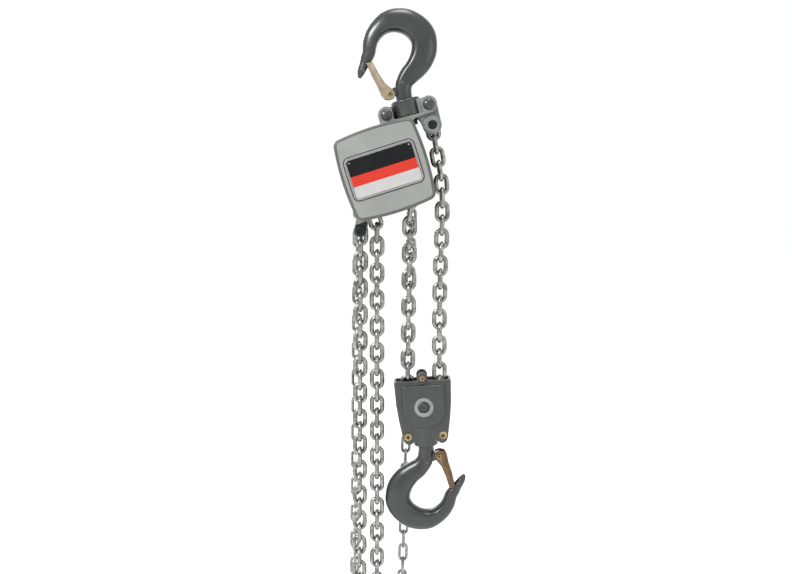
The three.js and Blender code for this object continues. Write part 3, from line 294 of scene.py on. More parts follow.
def slabForm(points, yFront, yBack, edge=0.8, steps=3, backEdge=None, hold=0.35):
    # A flat shape in the front view with its two rims rounded over
    backEdge = edge if backEdge is None else backEdge
    stations = []
    if edge > 0:
        stations.append((edge + hold, yFront))
        stations += [(edge * out, yFront + edge * down) for out, down in quarterTurn(steps)]
        stations.append((0, yFront + edge + hold))
    else:
        stations += [(hold, yFront), (0, yFront)]
    if backEdge > 0:
        stations.append((0, yBack - backEdge - hold))
        stations += [(backEdge * down, yBack - backEdge * out) for out, down in quarterTurn(steps)]
        stations.append((backEdge + hold, yBack))
    else:
        stations += [(0, yBack), (hold, yBack)]
    rings = [[(x, y, z) for x, z in offsetOutline(points, distance)] for distance, y in stations]
    return loftedForm(rings)


def turnedForm(profile, segments=48, axis="Y", x=0.0, z=0.0, y=0.0):
    # A profile of (radius, along) pairs turned about a line; a radius of 0 closes on it
    form = bmesh.new()
    closed = profile[0] == profile[-1] and profile[0][0] > 0
    rings = []
    for radius, along in profile[:-1] if closed else profile:
        ring = []
        for k in range(1 if radius < 1e-6 else segments):
            a = 2 * math.pi * k / segments
            u, v = radius * math.cos(a), radius * math.sin(a)
            place = (x + u, y + along, z + v) if axis == "Y" else (x + u, y + v, z + along)
            ring.append(form.verts.new(place))
        rings.append(ring)
    pairs = list(zip(rings, rings[1:]))
    if closed:
        pairs.append((rings[-1], rings[0]))
    for a, b in pairs:
        for k in range(segments):
            n = (k + 1) % segments
            corners = [a[k % len(a)], a[n % len(a)], b[n % len(b)], b[k % len(b)]]
            corners = list(dict.fromkeys(corners))
            if len(corners) > 2:
                form.faces.new(corners)
    if not closed:
        for ring in (rings[0], rings[-1]):
            if len(ring) > 1:
                form.faces.new(ring)
    return tidied(form)


def boxForm(x0, x1, y0, y1, z0, z1, edge=0.0, segments=2):
    form = bmesh.new()
    bmesh.ops.create_cube(form, size=1.0)
    for v in form.verts:
        v.co = Vector((x0 + (v.co.x + 0.5) * (x1 - x0), y0 + (v.co.y + 0.5) * (y1 - y0),
                       z0 + (v.co.z + 0.5) * (z1 - z0)))
    if edge > 0:
        bmesh.ops.bevel(form, geom=form.edges, offset=edge, segments=segments,
                        affect="EDGES", profile=0.5)
    return tidied(form)


def moved(form, matrix):
    bmesh.ops.transform(form, matrix=matrix, verts=form.verts)
    return form


def formObject(name, form, group="world"):
    mesh = bpy.data.meshes.new(name)
    form.transform(frameMatrix(group))
    form.to_mesh(mesh)
    form.free()
    made = bpy.data.objects.new(name, mesh)
    bpy.context.scene.collection.objects.link(made)
    return made


def combined(parts):
    # Several forms in one, each with the number of its material; None leaves its faces as they are
    whole = bmesh.new()
    for form, material in parts:
        for face in form.faces if material is not None else ():
            face.material_index = material
        mesh = bpy.data.meshes.new("part")
        form.to_mesh(mesh)
        form.free()
        whole.from_mesh(mesh)
        bpy.data.meshes.remove(mesh)
    return whole


def settled(target):
    # Turns an object with its modifiers into a plain mesh
    depsgraph = bpy.context.evaluated_depsgraph_get()
    mesh = bpy.data.meshes.new_from_object(target.evaluated_get(depsgraph))
    old = target.data
    target.modifiers.clear()
    target.data = mesh
    bpy.data.meshes.remove(old)
    return target


def carved(target, tools, overlapping=False):
    # Cuts the tools' shapes out of the target
    for tool in tools:
        cut = target.modifiers.new("cut", "BOOLEAN")
        cut.operation = "DIFFERENCE"
        cut.solver = "EXACT"
        cut.use_self = overlapping
        cut.object = tool
    settled(target)
    for tool in tools:
        mesh = tool.data
        bpy.data.objects.remove(tool)
        bpy.data.meshes.remove(mesh)
    return target


def shaded(target, angle=32.0):
    for polygon in target.data.polygons:
        polygon.use_smooth = True
    target.data.set_sharp_from_angle(angle=math.radians(angle))
    return target


def fitted(target, body, names, replaces=(), angle=32.0):
    # Gives a piece its finish, or finishes, and puts it on its body
    holders = target.data.materials
    for i, name in enumerate((names,) if isinstance(names, str) else names):
        if i < len(holders):
            holders[i] = finishes[name]
        else:
            holders.append(finishes[name])
    shaded(target, angle)
    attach(target, body)
    if replaces:
        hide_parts(*replaces)


def placed(name, form, group, finish, replaces=(), angle=38):
    # Makes a form a piece of the hoist's body, or of the bottom block, with nothing more to do
    fitted(formObject(name, form, group), "bottom_block" if group == "block" else "hoist_body",
           finish, replaces, angle)


# Finishes: each is a row of settings for one node tree. Lengths in them are in metres

finishDefaults = {"wear": (0.0, (0.1, 0.1, 0.1)), "coat": (0.0, 0.2), "specular": 0.5}
# Where the pointed edges start to show wear, and where painted shade starts to darken the hollows
finishEdges = {"worn": (0.515, 0.56), "hollow": (0.44, 0.495), "hollowShade": 0.45}
# Mottle: strength and scale. Grain: scale and depth. Wear: strength and colour; a finish with wear also
# gets painted shade in its hollows. Coat: weight and roughness
finishSettings = {
    "coverPaint": {"base": (0.355, 0.362, 0.352), "metallic": 0.25, "roughness": 0.42,
        "mottle": (0.05, 28), "grain": (1500, 0.00003), "coat": (0.12, 0.25)},
    "coverEdgePaint": {"base": (0.12, 0.127, 0.124), "metallic": 0.25, "roughness": 0.4,
        "mottle": (0.08, 40), "grain": (1500, 0.00003), "wear": (0.15, (0.3, 0.3, 0.3)),
        "coat": (0.1, 0.25)},
    # Painted shade: near black, for the shadow in the grooves round the label's frame
    "paintedGrooveShade": {"base": (0.03, 0.032, 0.033), "metallic": 0.2, "roughness": 0.5, "mottle": (0.15, 60),
        "grain": (1500, 0.00003), "coat": (0.0, 0.3)},
    "platePaint": {"base": (0.27, 0.277, 0.27), "metallic": 0.35, "roughness": 0.45,
        "mottle": (0.1, 60), "grain": (1400, 0.00005), "wear": (0.3, (0.5, 0.5, 0.49)),
        "coat": (0.0, 0.3)},
    "armPaint": {"base": (0.235, 0.238, 0.24), "metallic": 0.35, "roughness": 0.42,
        "mottle": (0.12, 60), "grain": (1100, 0.00007), "wear": (0.3, (0.45, 0.45, 0.46)),
        "coat": (0.05, 0.3)},
    "forgedPaint": {"base": (0.036, 0.038, 0.038), "metallic": 0.4, "roughness": 0.3,
        "mottle": (0.16, 55), "grain": (620, 0.00014), "wear": (0.25, (0.3, 0.3, 0.3)),
        "coat": (0.5, 0.2)},
    "drumPaint": {"base": (0.068, 0.071, 0.07), "metallic": 0.5, "roughness": 0.27,
        "mottle": (0.12, 70), "grain": (1500, 0.00005), "wear": (0.25, (0.3, 0.31, 0.31)),
        "coat": (0.2, 0.25)},
    "castPaint": {"base": (0.052, 0.056, 0.054), "metallic": 0.35, "roughness": 0.34,
        "mottle": (0.12, 45), "grain": (800, 0.0001), "wear": (0.25, (0.27, 0.28, 0.28)),
        "coat": (0.4, 0.2)},
    "washerSteel": {"base": (0.3, 0.31, 0.305), "metallic": 0.6, "roughness": 0.4,
        "mottle": (0.14, 110), "grain": (1400, 0.00004), "wear": (0.35, (0.55, 0.56, 0.55))},
    "axleSteel": {"base": (0.07, 0.075, 0.074), "metallic": 0.7, "roughness": 0.4, "mottle": (0.3, 220),
        "grain": (1400, 0.00006), "wear": (0.4, (0.3, 0.31, 0.31))},
    "wheelCoverPaint": {"base": (0.1, 0.105, 0.104), "metallic": 0.2, "roughness": 0.44,
        "mottle": (0.1, 30), "grain": (1300, 0.00004), "wear": (0.2, (0.25, 0.26, 0.26)),
        "coat": (0.12, 0.3)},
    "zincChain": {"base": (0.19, 0.196, 0.189), "metallic": 1.0, "roughness": 0.27,
        "mottle": (0.3, 150), "grain": (900, 0.00006), "wear": (0.2, (0.75, 0.75, 0.74))},
    "paleBrass": {"base": (0.4, 0.32, 0.24), "metallic": 0.9, "roughness": 0.26, "mottle": (0.14, 110),
        "grain": (1100, 0.00004), "wear": (0.3, (0.8, 0.68, 0.5))},
    "bronzePlate": {"base": (0.13, 0.085, 0.048), "metallic": 0.9, "roughness": 0.3,
        "mottle": (0.2, 110), "grain": (1100, 0.00005), "wear": (0.35, (0.55, 0.38, 0.22))},
    "yellowZinc": {"base": (0.26, 0.185, 0.085), "metallic": 1.0, "roughness": 0.28,
        "mottle": (0.2, 200), "grain": (1400, 0.00003), "wear": (0.35, (0.75, 0.62, 0.38))},
    "blackSteel": {"base": (0.018, 0.019, 0.02), "metallic": 0.6, "roughness": 0.42,
        "mottle": (0.2, 120), "grain": (1200, 0.00004), "wear": (0.25, (0.12, 0.12, 0.12))},
    "machinedSteel": {"base": (0.42, 0.43, 0.43), "metallic": 1.0, "roughness": 0.33,
        "mottle": (0.1, 90), "grain": (2200, 0.00002), "wear": (0.15, (0.65, 0.65, 0.65))},
    "frictionLining": {"base": (0.05, 0.038, 0.03), "metallic": 0.0, "roughness": 0.85,
        "mottle": (0.3, 400), "grain": (1800, 0.00008)},
    "labelBlack": {"base": (0.012, 0.013, 0.014), "metallic": 0.0, "roughness": 0.4,
        "mottle": (0.15, 60), "grain": (2600, 0.00001), "specular": 0.12},
    "labelRed": {"base": (0.74, 0.05, 0.03), "metallic": 0.0, "roughness": 0.4, "mottle": (0.05, 60),
        "grain": (2600, 0.00001), "specular": 0.25},
    "labelSilver": {"base": (0.63, 0.62, 0.61), "metallic": 0.3, "roughness": 0.34,
        "mottle": (0.05, 70), "grain": (2400, 0.00002), "coat": (0.1, 0.2)},
}


def makeFinish(name, s, edges):
    material = bpy.data.materials.new(name)
    tree = emptiedTree(material)
    shader = addNode(tree, "ShaderNodeBsdfPrincipled", {
        "Metallic": s["metallic"], "Specular IOR Level": s["specular"],
        "Coat Weight": s["coat"][0], "Coat Roughness": s["coat"][1]})
    addNode(tree, "ShaderNodeOutputMaterial", {"Surface": shader.outputs[0]})
    place = addNode(tree, "ShaderNodeTexCoord").outputs["Object"]

    def noise(scale, detail, distortion=0.0):
        made = addNode(tree, "ShaderNodeTexNoise", {
            "Vector": place, "Scale": scale, "Detail": detail, "Distortion": distortion})
        return made.outputs["Fac"]

    def spread(source, low, high, fromLow=0.3, fromHigh=0.7):
        made = addNode(tree, "ShaderNodeMapRange", {
            "Value": source, "From Min": fromLow, "From Max": fromHigh, "To Min": low, "To Max": high})
        return made.outputs["Result"]

    def mixed(kind, factor, a, b):
        made = addNode(tree, "ShaderNodeMix", {"Factor": factor}, data_type="RGBA", blend_type=kind)
        for key, value in (("A", a), ("B", b)):
            feed(tree, [i for i in made.inputs if i.name == key and i.type == "RGBA"][0], value)
        return [o for o in made.outputs if o.type == "RGBA"][0]

    mottle, mottleScale = s["mottle"]
    grainScale, grainDepth = s["grain"]
    wear, wearColour = s["wear"]
    cloud = noise(mottleScale, 5.0, 0.4)
    grain = noise(grainScale, 3.0)
    dark, light = (tuple(min(1.0, c * (1 + share)) for c in s["base"]) + (1,)
                   for share in (-mottle, mottle))
    colour = mixed("MIX", spread(cloud, 0.0, 1.0), dark, light)
    if wear > 0:
        pointed = addNode(tree, "ShaderNodeNewGeometry").outputs["Pointiness"]
        patches = spread(cloud, 0.2 * wear, 1.6 * wear, 0.35, 0.65)
        worn = addNode(tree, "ShaderNodeMath", {0: spread(pointed, 0.0, 1.0, *edges["worn"]), 1: patches},
                       operation="MULTIPLY")
        colour = mixed("MIX", worn.outputs[0], colour, wearColour + (1,))
        # Painted shade: hollows, where Pointiness is low, are darkened, standing in for the shade in
        # recesses and between parts
        hollow = spread(pointed, edges["hollowShade"], 1.0, *edges["hollow"])
        shade = addNode(tree, "ShaderNodeCombineColor", {0: hollow, 1: hollow, 2: hollow})
        colour = mixed("MULTIPLY", 1.0, colour, shade.outputs[0])
    feed(tree, shader.inputs["Base Color"], colour)
    rough = spread(cloud, s["roughness"] * 0.82, min(1.0, s["roughness"] * 1.2))
    feed(tree, shader.inputs["Roughness"], rough)
    bump = addNode(tree, "ShaderNodeBump", {"Strength": 1.0, "Distance": grainDepth, "Height": grain})
    feed(tree, shader.inputs["Normal"], bump.outputs[0])
    return material


finishes = {name: makeFinish(name, {**finishDefaults, **settings}, finishEdges)
            for name, settings in finishSettings.items()}
print("finishes made:", len(finishes))


# Hooks: one forging, lofted through its sections from the neck to the tip

hookSettings = {
    "bowlRadius": 27.3,
    "axisOffset": 2.6,
    "shankRadius": 9.0,
    "shoulder": 12.5,
    "ringsPerSection": 5,
    "pointsPerRing": 40,
    "gaugeDotRadius": 1.7,
    "latchLug": 6.0,
    "latchLugHalf": 8.0,
    "pivot": (-0.81, -2.29),
    "neckRound": 2.0,           # over how many sections the neck turns from round to forged
    "tipRings": 4, "tipTurn": 4.6, "tipLength": 2.4,
    "lugRoot": 2.0,
    "voxel": 0.75, "softening": 6,
}
# Inner point, outer point and thickness of each section, as shares of the bowl's radius
hookSections = [
    (-0.55, -2.64, 0.37, -2.64, 0.92), (-0.5, -2.1, 0.48, -2.2, 0.93),
    (-0.33, -1.63, 0.81, -2.0, 0.95), (0.07, -1.12, 1.31, -1.75, 1.0),
    (0.5, -0.77, 1.83, -1.36, 1.04), (0.86, -0.31, 2.3, -0.71, 1.08),
    (1.01, 0.15, 2.51, 0.18, 1.1), (0.92, 0.48, 2.38, 0.88, 1.1), (0.68, 0.75, 1.98, 1.5, 1.06),
    (0.37, 0.93, 1.36, 2.0, 1.03), (0.04, 1.0, 0.62, 2.23, 0.99), (-0.29, 0.95, -0.11, 2.2, 0.95),
    (-0.59, 0.79, -0.73, 1.89, 0.9), (-0.82, 0.55, -1.25, 1.43, 0.85),
    (-0.97, 0.26, -1.59, 0.88, 0.8), (-1.08, 0.04, -1.74, 0.4, 0.74),
    (-1.26, -0.18, -1.89, 0.15, 0.66), (-1.5, -0.39, -2.03, -0.15, 0.57),
    (-1.74, -0.62, -2.2, -0.42, 0.51), (-1.94, -0.84, -2.31, -0.68, 0.44),
    (-2.11, -0.97, -2.33, -0.88, 0.26),
]
# The forged section round its edge: depth from the inner point, and half thickness
hookOutline = [
    (0.0, 0.0), (0.015, 0.3), (0.07, 0.62), (0.16, 0.9), (0.27, 1.0), (0.4, 0.985), (0.56, 0.92),
    (0.72, 0.8), (0.86, 0.6), (0.96, 0.33), (1.0, 0.0),
]


def spline(values, t):
    # Catmull-Rom through a row of numbers or tuples, at t from 0 to the last index
    i = min(int(t), len(values) - 2)
    f = t - i
    p = [values[max(0, min(len(values) - 1, i + k))] for k in (-1, 0, 1, 2)]
    return tuple(
        0.5 * (2 * b + (c - a) * f + (2 * a - 5 * b + 4 * c - d) * f ** 2
               + (3 * b - a - 3 * c + d) * f ** 3)
        for a, b, c, d in zip(*p))


def hookForm(s, neckEnd, shankEnd):
    reach = s["bowlRadius"]
    count = (len(hookSections) - 1) * s["ringsPerSection"]
    shoulderTop = hookSections[0][1] * reach + 2
    rings = []
    half = s["pointsPerRing"] // 2
    for i in range(count + 1):
        t = i / s["ringsPerSection"]
        inX, inZ, outX, outZ, thick = spline(hookSections, t)
        roundness = max(0.0, 1 - t / s["neckRound"])
        ring = []
        for k in range(2 * half):
            share = k if k <= half else 2 * half - k
            depth, wide = spline(hookOutline, share / half * (len(hookOutline) - 1))
            a = math.pi * share / half
            depth = depth + ((1 - math.cos(a)) / 2 - depth) * roundness
            wide = wide + (math.sin(a) - wide) * roundness
            side = 1 if k <= half else -1
            y = side * wide * thick * reach / 2
            ring.append(((inX + (outX - inX) * depth) * reach, y, (inZ + (outZ - inZ) * depth) * reach))
        rings.append(ring)
    # The tip closes over in smaller rings
    last = rings[-1]
    middle = Vector([sum(c) / len(last) for c in zip(*last)])
    lead = (middle - Vector([sum(c) / len(last) for c in zip(*rings[-3])])).normalized()
    for k in range(1, s["tipRings"] + 1):
        a = math.pi / 2 * k / s["tipTurn"]
        ahead = middle + lead * math.sin(a) * s["tipLength"]
        rings.append([tuple(ahead + (Vector(p) - middle) * math.cos(a)) for p in last])
    forging = loftedForm(rings)
    shank = turnedForm(filleted([
        (0, -shankEnd, 0), (s["shankRadius"], -shankEnd, 0.8), (s["shankRadius"], -neckEnd, 0),
        (s["shoulder"], -neckEnd, 0.6), (s["shoulder"], shoulderTop, 0), (0, shoulderTop, 0)]),
        40, "Z", x=-s["axisOffset"])
    return forging, shank


def meltedTogether(target, voxel, rounds):
    # Joins what overlaps in a piece and rounds the inner corners, as a forging's are
    remesh = target.modifiers.new("melt", "REMESH")
    remesh.mode = "VOXEL"
    remesh.voxel_size = voxel * mm
    remesh.use_smooth_shade = True
    smooth = target.modifiers.new("soften", "SMOOTH")
    smooth.factor = 0.5
    smooth.iterations = rounds
    return settled(target)


def gaugeDot(s, x, z, y):
    # A small punched dot that stands in a dished ring
    r = s["gaugeDotRadius"]
    sign = 1 if y > 0 else -1
    profile = [(0, 1.1), (r * 0.55, 0.95), (r * 0.9, 0.5), (r, -0.05), (r * 1.35, -0.25),
               (r * 1.75, 0.1), (r * 2.1, 0.0), (r * 2.25, -0.9), (0, -0.9)]
    return turnedForm([(radius, sign * rise) for radius, rise in profile], 24, "Y", x=x, z=z, y=y)


def makeHook(name, s, group, body, node, neckEnd, shankEnd, dots):
    forging, shank = hookForm(s, neckEnd, shankEnd)
    reach = s["bowlRadius"]
    pivotX, pivotZ = s["pivot"][0] * reach, s["pivot"][1] * reach
    side = capsuleOutline(-s["shoulder"] + s["lugRoot"], pivotZ + s["latchLug"] / 2, pivotX, pivotZ,
                          s["latchLug"])
    lug = slabForm(side, -s["latchLugHalf"], s["latchLugHalf"], 1.2)
    hook = formObject(name, combined([(forging, 0), (shank, 0), (lug, 0)]), group)
    meltedTogether(hook, s["voxel"], s["softening"])
    if dots:
        marks = formObject(name + "Marks", combined(
            [(gaugeDot(s, x, z, y), 0) for x, z, y in dots]), group)
        fitted(marks, body, "forgedPaint")
    fitted(hook, body, "forgedPaint", (node,), angle=70)


topDots = [(-0.3, -50.4, -12.6), (-54.2, -16.2, -7.2), (-0.3, -50.4, 12.6), (-54.2, -16.2, 7.2)]
bottomDots = [(-2.1, -53.7, -12.3), (-54.2, -16.2, -7.2), (-2.1, -53.7, 12.3), (-54.2, -16.2, 7.2)]
makeHook("topHookForging", hookSettings, "topHook", "top_hook", "top_hook", 75.7, 116.9, topDots)
makeHook("bottomHookForging", hookSettings, "bottomHook", "bottom_hook", "bottom_hook",
         80.7, 102.1, bottomDots)
print("hooks made")


# Chains: links of round wire on the joints of each run

chainSettings = {
    "load": {"wire": 7.1, "pitch": 21.1, "width": 23.7, "plane": 0.0, "rollPlay": 2.2, "seed": 4},
    "hand": {"wire": 5.0, "pitch": 23.6, "width": 17.0, "plane": 72.0, "rollPlay": 5.0, "seed": 9},
}
linkSettings = {"pointsAlong": 32, "pointsRound": 10, "cornerPoints": 10,
                "weldRise": 0.07, "weldWidth": 0.028, "weldPlace": 0.2}
idleJoints = [(21.32, -581), (28.93, -599.37), (47.3, -606.98), (65.67, -599.37), (73.28, -581)]
sheaveJoints = [(25.57, -202.09), (16.87, -183.43), (0, -171.62), (-20.51, -169.83),
                (-39.17, -178.53), (-50.98, -195.4), (-52.77, -215.91)]
deadJoints = [
    (58.54, -136.93), (62.19, -157.82), (65.82, -178.72), (69.64, -199.59), (73.13, -220.51),
    (74.87, -241.65), (75.38, -262.85), (75.47, -284.07), (75.05, -305.28), (74.4, -326.48),
    (73.51, -347.67), (72.93, -368.87), (72.55, -390.09), (72.27, -411.3), (72.07, -432.52),
    (71.96, -453.73), (71.99, -474.94), (72.14, -496.15), (72.35, -517.37), (72.62, -538.58),
    (72.95, -559.79), (73.28, -581),
]
handWheelJoints = [(31.01, -203.92), (22.49, -182.29), (4.3, -167.83), (-18.68, -164.39),
                   (-40.31, -172.91), (-54.77, -191.1), (-58.21, -214.08)]
handLoopJoints = [(14.3, -893), (9.28, -915.05), (-5.3, -932.24), (-26.7, -939), (-48.1, -932.24),
                  (-62.68, -915.05), (-67.7, -893)]
slackLoopJoints = [(-27.8, -889), (-42.45, -900), (-57.1, -889)]
guideExit = (-26.6, -296.2)
slackEndTop = (-51.95, -299.23)


def evenJoints(start, end, count):
    return [(start[0] + (end[0] - start[0]) * i / count, start[1] + (end[1] - start[1]) * i / count)
            for i in range(count + 1)]


liveJoints = evenJoints(sheaveJoints[0], idleJoints[0], 18)
slackJoints = (evenJoints(sheaveJoints[-1], guideExit, 4)
               + evenJoints(guideExit, slackLoopJoints[0], 28)[1:])
slackEndJoints = evenJoints(slackEndTop, slackLoopJoints[-1], 28)
handRightJoints = evenJoints(handWheelJoints[0], handLoopJoints[0], 29)
handLeftJoints = evenJoints(handWheelJoints[-1], handLoopJoints[-1], 29)
# Each run: its joints, and whether its first link shows its opening to the front
chainRuns = {
    "load": [(deadJoints, True), (idleJoints, True), (liveJoints, True), (sheaveJoints, False),
             (slackJoints, False), (slackLoopJoints, False), (slackEndJoints, True)],
    "hand": [(handWheelJoints, True), (handRightJoints, False), (handLeftJoints, True),
             (handLoopJoints, True)],
}


def chainTree(name):
    # Lays a link on every point, turned by the point's own "turn", with some play
    tree = bpy.data.node_groups.new(name, "GeometryNodeTree")
    face = tree.interface
    face.new_socket("Geometry", in_out="INPUT", socket_type="NodeSocketGeometry")
    for label in ("Wire Radius", "Link Length", "Link Width", "Roll Play", "Weld Rise", "Weld Width",
                  "Weld Place"):
        face.new_socket(label, in_out="INPUT", socket_type="NodeSocketFloat")
    for label in ("Points Along", "Points Round", "Corner Points", "Seed"):
        face.new_socket(label, in_out="INPUT", socket_type="NodeSocketInt")
    face.new_socket("Finish", in_out="INPUT", socket_type="NodeSocketMaterial")
    face.new_socket("Geometry", in_out="OUTPUT", socket_type="NodeSocketGeometry")
    given = tree.nodes.new("NodeGroupInput").outputs

    def calculated(operation, a, b):
        return addNode(tree, "ShaderNodeMath", {0: a, 1: b}, operation=operation).outputs[0]

    outline = addNode(tree, "GeometryNodeCurvePrimitiveQuadrilateral",
                      {"Width": given["Link Length"], "Height": given["Link Width"]})
    # A little under half the width, so that the two round ends keep a straight between them
    fillet = addNode(tree, "GeometryNodeFilletCurve", {
        "Curve": outline.outputs[0], "Radius": calculated("MULTIPLY", given["Link Width"], 0.499),
        "Count": given["Corner Points"], "Limit Radius": True}, mode="POLY")
    resample = addNode(tree, "GeometryNodeResampleCurve",
                       {"Curve": fillet.outputs[0], "Count": given["Points Along"]})
    # The weld thickens the wire in the middle of one long side
    along = addNode(tree, "GeometryNodeSplineParameter").outputs["Factor"]
    away = calculated("ABSOLUTE", calculated("SUBTRACT", along, given["Weld Place"]), 0.0)
    near = addNode(tree, "ShaderNodeMapRange", {
        "Value": away, "From Min": 0.0, "From Max": given["Weld Width"],
        "To Min": given["Weld Rise"], "To Max": 0.0}, interpolation_type="SMOOTHSTEP")
    welded = addNode(tree, "GeometryNodeSetCurveRadius", {
        "Curve": resample.outputs[0], "Radius": calculated("ADD", near.outputs["Result"], 1.0)})
    wire = addNode(tree, "GeometryNodeCurvePrimitiveCircle",
                   {"Resolution": given["Points Round"], "Radius": given["Wire Radius"]})
    sweep = addNode(tree, "GeometryNodeCurveToMesh",
                    {"Curve": welded.outputs[0], "Profile Curve": wire.outputs[0]})
    if "Scale" in sweep.inputs:
        feed(tree, sweep.inputs["Scale"], addNode(tree, "GeometryNodeInputRadius").outputs[0])
    upright = addNode(tree, "GeometryNodeTransform",
                      {"Geometry": sweep.outputs[0], "Rotation": (math.pi / 2, 0, 0)})
    turn = addNode(tree, "GeometryNodeInputNamedAttribute", {"Name": "turn"}, data_type="FLOAT_VECTOR")
    turned = addNode(tree, "FunctionNodeEulerToRotation", {0: turn.outputs["Attribute"]})
    play = addNode(tree, "FunctionNodeRandomValue", {"Seed": given["Seed"]}, data_type="FLOAT")
    low, high = [i for i in play.inputs if i.type == "VALUE" and i.name in ("Min", "Max")]
    feed(tree, low, calculated("MULTIPLY", given["Roll Play"], -1.0))
    feed(tree, high, given["Roll Play"])
    roll = addNode(tree, "ShaderNodeCombineXYZ", {"X": [o for o in play.outputs if o.type == "VALUE"][0]})
    rolled = addNode(tree, "FunctionNodeEulerToRotation", {0: roll.outputs[0]})
    both = addNode(tree, "FunctionNodeRotateRotation", {0: turned.outputs[0], 1: rolled.outputs[0]},
                   rotation_space="LOCAL")
    lay = addNode(tree, "GeometryNodeInstanceOnPoints", {
        "Points": given["Geometry"], "Instance": upright.outputs[0], "Rotation": both.outputs[0]})
    real = addNode(tree, "GeometryNodeRealizeInstances", {0: lay.outputs[0]})
    paint = addNode(tree, "GeometryNodeSetMaterial",
                    {"Geometry": real.outputs[0], "Material": given["Finish"]})
    addNode(tree, "NodeGroupOutput", {0: paint.outputs[0]})
    return tree


def setInputs(modifier, values):
    # Sets a Geometry Nodes modifier's inputs by the identifiers of its sockets
    for item in modifier.node_group.interface.items_tree:
        if item.item_type == "SOCKET" and item.in_out == "INPUT" and item.name in values:
            modifier[item.identifier] = values[item.name]


def makeChain(name, tree, s, link, runs, finish, nodes):
    points, turns = [], []
    for joints, facesFront in runs:
        for i, (a, b) in enumerate(zip(joints, joints[1:])):
            lean = math.atan2(b[1] - a[1], b[0] - a[0])
            roll = 0 if (i % 2 == 0) == facesFront else math.pi / 2
            turn = Matrix.Rotation(-lean, 3, "Y") @ Matrix.Rotation(roll, 3, "X")
            points.append(((a[0] + b[0]) / 2 * mm, s["plane"] * mm, (a[1] + b[1]) / 2 * mm))
            turns.append(tuple(turn.to_euler("XYZ")))
    mesh = bpy.data.meshes.new(name)
    mesh.from_pydata(points, [], [])
    attribute = mesh.attributes.new("turn", "FLOAT_VECTOR", "POINT")
    for item, turn in zip(attribute.data, turns):
        item.vector = turn
    chain = bpy.data.objects.new(name, mesh)
    bpy.context.scene.collection.objects.link(chain)
    modifier = chain.modifiers.new("links", "NODES")
    modifier.node_group = tree
    setInputs(modifier, {
        "Wire Radius": s["wire"] / 2 * mm,
        "Link Length": (s["pitch"] + s["wire"]) * mm,
        "Link Width": (s["width"] - s["wire"]) * mm,
        "Roll Play": math.radians(s["rollPlay"]),
        "Weld Rise": link["weldRise"],
        "Weld Width": link["weldWidth"],
        "Weld Place": link["weldPlace"],
        "Points Along": link["pointsAlong"],
        "Points Round": link["pointsRound"],
        "Corner Points": link["cornerPoints"],
        "Seed": s["seed"],
        "Finish": finishes[finish],
    })
    settled(chain)
    fitted(chain, "hoist_body", finish, nodes, angle=60)
    print(name, "has", len(points), "links")


linkTree = chainTree("linksOnJoints")
loadNodes = [n for n in cadNodes if n.startswith("load_chain_")]
handNodes = [n for n in cadNodes if n.startswith("hand_chain_")]
makeChain("loadChainLinks", linkTree, chainSettings["load"], linkSettings, chainRuns["load"],
          "zincChain", loadNodes)
makeChain("handChainLinks", linkTree, chainSettings["hand"], linkSettings, chainRuns["hand"],
          "zincChain", handNodes)


# Gear cover: a pressed shell with bowed sides, a raised frame for the label and bosses inside

coverSettings = {
    "halfWidth": 63.1, "halfHeight": 63.2, "corner": 11.0, "bow": 3.6,
    "mouth": -22.3, "face": -62.3, "wall": 2.5,
    "edge": 3.4, "edgeDepth": 4.2, "border": 4.7, "borderStep": 0.25,
    "lipDepth": 3.2, "lipGroove": 0.45,
    "frameHalfWidth": 54.4, "frameHalfHeight": 32.5, "frameCorner": 8.4, "frameShift": -1.4,
    "frameWidth": 2.5, "frameRise": 1.35, "grooveWidth": 1.6,
    "bosses": [(0.0, 4.6), (28.8, 4.0), (-28.8, 4.0)], "bossRadius": 8.5, "bossEnd": -49.3,
}
labelSettings = {
    "front": -63.5, "back": -62.6, "corner": 5.6, "margin": 0.5,
    "blackBottom": 4.0, "redBottom": -11.5, "inkRise": 0.1, "inkInset": 0.5,
    "rivets": [(-48.0, 24.8), (45.4, 25.2), (45.6, -25.6), (-47.8, -26.0)], "rivetRadius": 1.35,
    "rivetRise": 0.18,
}


def bowedOutline(halfWidth, halfHeight, corner, bow, steps=9, sideSteps=14):
    x, z = halfWidth - corner, halfHeight - corner

    def bowed(start, control, end):
        made = []
        for k in range(1, sideSteps):
            t = k / sideSteps
            made.append(tuple(a * (1 - t) ** 2 + 2 * b * t * (1 - t) + c * t * t
                              for a, b, c in zip(start, control, end)))
        return made

    return (arcPoints(x, z, corner, 0, 90, steps)
            + bowed((x, halfHeight), (0, halfHeight + 2 * bow), (-x, halfHeight))
            + arcPoints(-x, z, corner, 90, 180, steps)
            + bowed((-halfWidth, z), (-halfWidth - 2 * bow, 0), (-halfWidth, -z))
            + arcPoints(-x, -z, corner, 180, 270, steps)
            + bowed((-x, -halfHeight), (0, -halfHeight - 2 * bow), (x, -halfHeight))
            + arcPoints(x, -z, corner, 270, 360, steps)
            + bowed((halfWidth, -z), (halfWidth + 2 * bow, 0), (halfWidth, z)))


